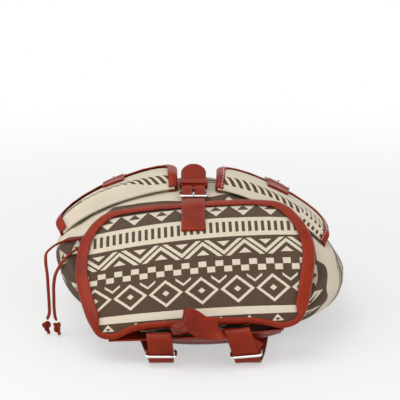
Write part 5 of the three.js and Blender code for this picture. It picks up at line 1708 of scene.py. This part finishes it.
LEFT_STRAP = listed([
    (-39.5, -174.5, 28.8, 1, 0, 0.07), (-39.5, -181, 31, 1, 0, 0.07), (-39.3, -188, 34.6, 1, 0, 0.05),
    (-39, -194, 35.6, 1, 0, 0), (-38.2, -197.8, 31.5, 1, 0, 0), (-37.2, -197.2, 23, 1, 0, 0),
    (-36.5, -194.4, 14, 1, 0, 0), (-36.3, -190, 5.5, 1, 0, 0), (-37, -178, FLOOR_LAYER, 1, 0.06, 0),
    (-42, -150, FLOOR_LAYER, 1, 0.18, 0), (-56, -70, FLOOR_LAYER, 1, 0.18, 0),
    (-72, 20, FLOOR_LAYER, 1, 0.18, 0), (-84, 96, FLOOR_LAYER, 1, 0.12, 0),
]) + strap_end(-1)
RIGHT_STRAP = listed([
    (40.1, -174.5, 32, 1, 0, 0.07), (40.4, -181, 35, 1, 0, 0.07), (41.6, -188, 39.4, 1, 0, 0.07),
    (42.4, -194, 40, 1, 0, 0.1), (45, -198.2, 34, 1, 0, 0.16), (48.4, -197.4, 24, 1, 0, 0.16),
    (51.5, -194.4, 14, 1, 0, 0.12), (54, -190, 5.6, 1, 0, 0.04), (56, -178, FLOOR_LAYER, 1, -0.08, 0),
    (61, -150, FLOOR_LAYER, 1, -0.15, 0), (70, -70, FLOOR_LAYER, 1, -0.12, 0),
    (79, 20, FLOOR_LAYER, 1, -0.1, 0), (86, 96, FLOOR_LAYER, 1, -0.08, 0),
]) + strap_end(1)
print("straps through", len(LEFT_STRAP), "and", len(RIGHT_STRAP), "stations")

# %% Shoulder straps
for name, stations in (("left", LEFT_STRAP), ("right", RIGHT_STRAP)):
    centres, acrosses = stations_line(stations, 110)
    centres[:, 2] = np.maximum(centres[:, 2], FLOOR_LAYER)
    strip(f"{name}_shoulder_leather", centres, acrosses, STRAP_W, STRAP_T, [f"{name}_shoulder_strap"])
    sew_strip(f"{name}_shoulder_seam", centres, acrosses, 2.4, 2, 60)

# %% Spare ends
LEFT_TAIL = listed([
    (-36.5, -189.8, 10.4, 1, 0, 0), (-36.5, -191.7, 15.1, 1, 0, 0), (-37, -193.3, 21, 1, 0, 0),
    (-37.6, -193.8, 28, 1, 0, 0),
])
RIGHT_TAIL = listed([
    (51.6, -189.7, 10.6, 1, 0, 0.12), (51.4, -191.3, 15.2, 1, 0, 0.12), (52, -192.4, 19.4, 1, 0, 0.06),
    (55, -192.8, 25, 1, 0, -0.1), (59.4, -193.1, 32, 1, 0, -0.2),
])
for name, stations, width in (("left", LEFT_TAIL, STRAP_W), ("right", RIGHT_TAIL, STRAP_W - 2)):
    centres, acrosses = stations_line(stations, 24)
    strip(f"{name}_spare_end", centres, acrosses, width, STRAP_T, [f"{name}_strap_tail"])

# %% Wire slides
slide_long = unit(np.array([0, 0.925, 0.38]))
for name, middle, wide in (("left", (-36.5, -193.1, 14.6), (1, 0, 0)),
                           ("right", (52, -193.2, 14.7), (1, -0.04, 0.1))):
    wire_frame(f"{name}_wire_slide", np.array(middle), unit(np.array(wide, float)), slide_long,
               STRAP_W + 2 + WIRE, 2 * STRAP_T + 6 * GAP + WIRE, 2.2, f"{name}_strap_slide")

# %% [markdown]
# ## Grab handle
# The handle is one strip with both ends sewn to the yoke. It flopped over to one side as it fell, so its
# stations turn from lying flat, through standing on edge, to lying the other way up.

# %% Grab handle
HANDLE = listed([
    (-12.4, -172, 30, 1, 0, 0.07), (-12.5, -181, 32.8, 1, 0, 0.07), (-12.6, -190.6, 38.4, 0.95, 0, 0.3),
    (-15.4, -203, 54, 0.69, 0, 0.73), (-6, -209, 57, 0.45, 0, 0.9), (6, -211, 50, 0.2, 0, 0.98),
    (19, -211, 48.6, -0.1, 0, 1), (23.4, -205, 45.6, -0.5, 0.1, 0.82), (17, -193, 40.4, -0.97, 0, 0.1),
    (12.8, -181, 34.6, -1, 0, -0.07), (12.6, -172, 31.6, -1, 0, -0.07),
])
centres, acrosses = stations_line(HANDLE, 90)
strip("carrying_handle", centres, acrosses, 24.0, STRAP_T, ["grab_handle"], crown=0.3, columns=8)

# %% [markdown]
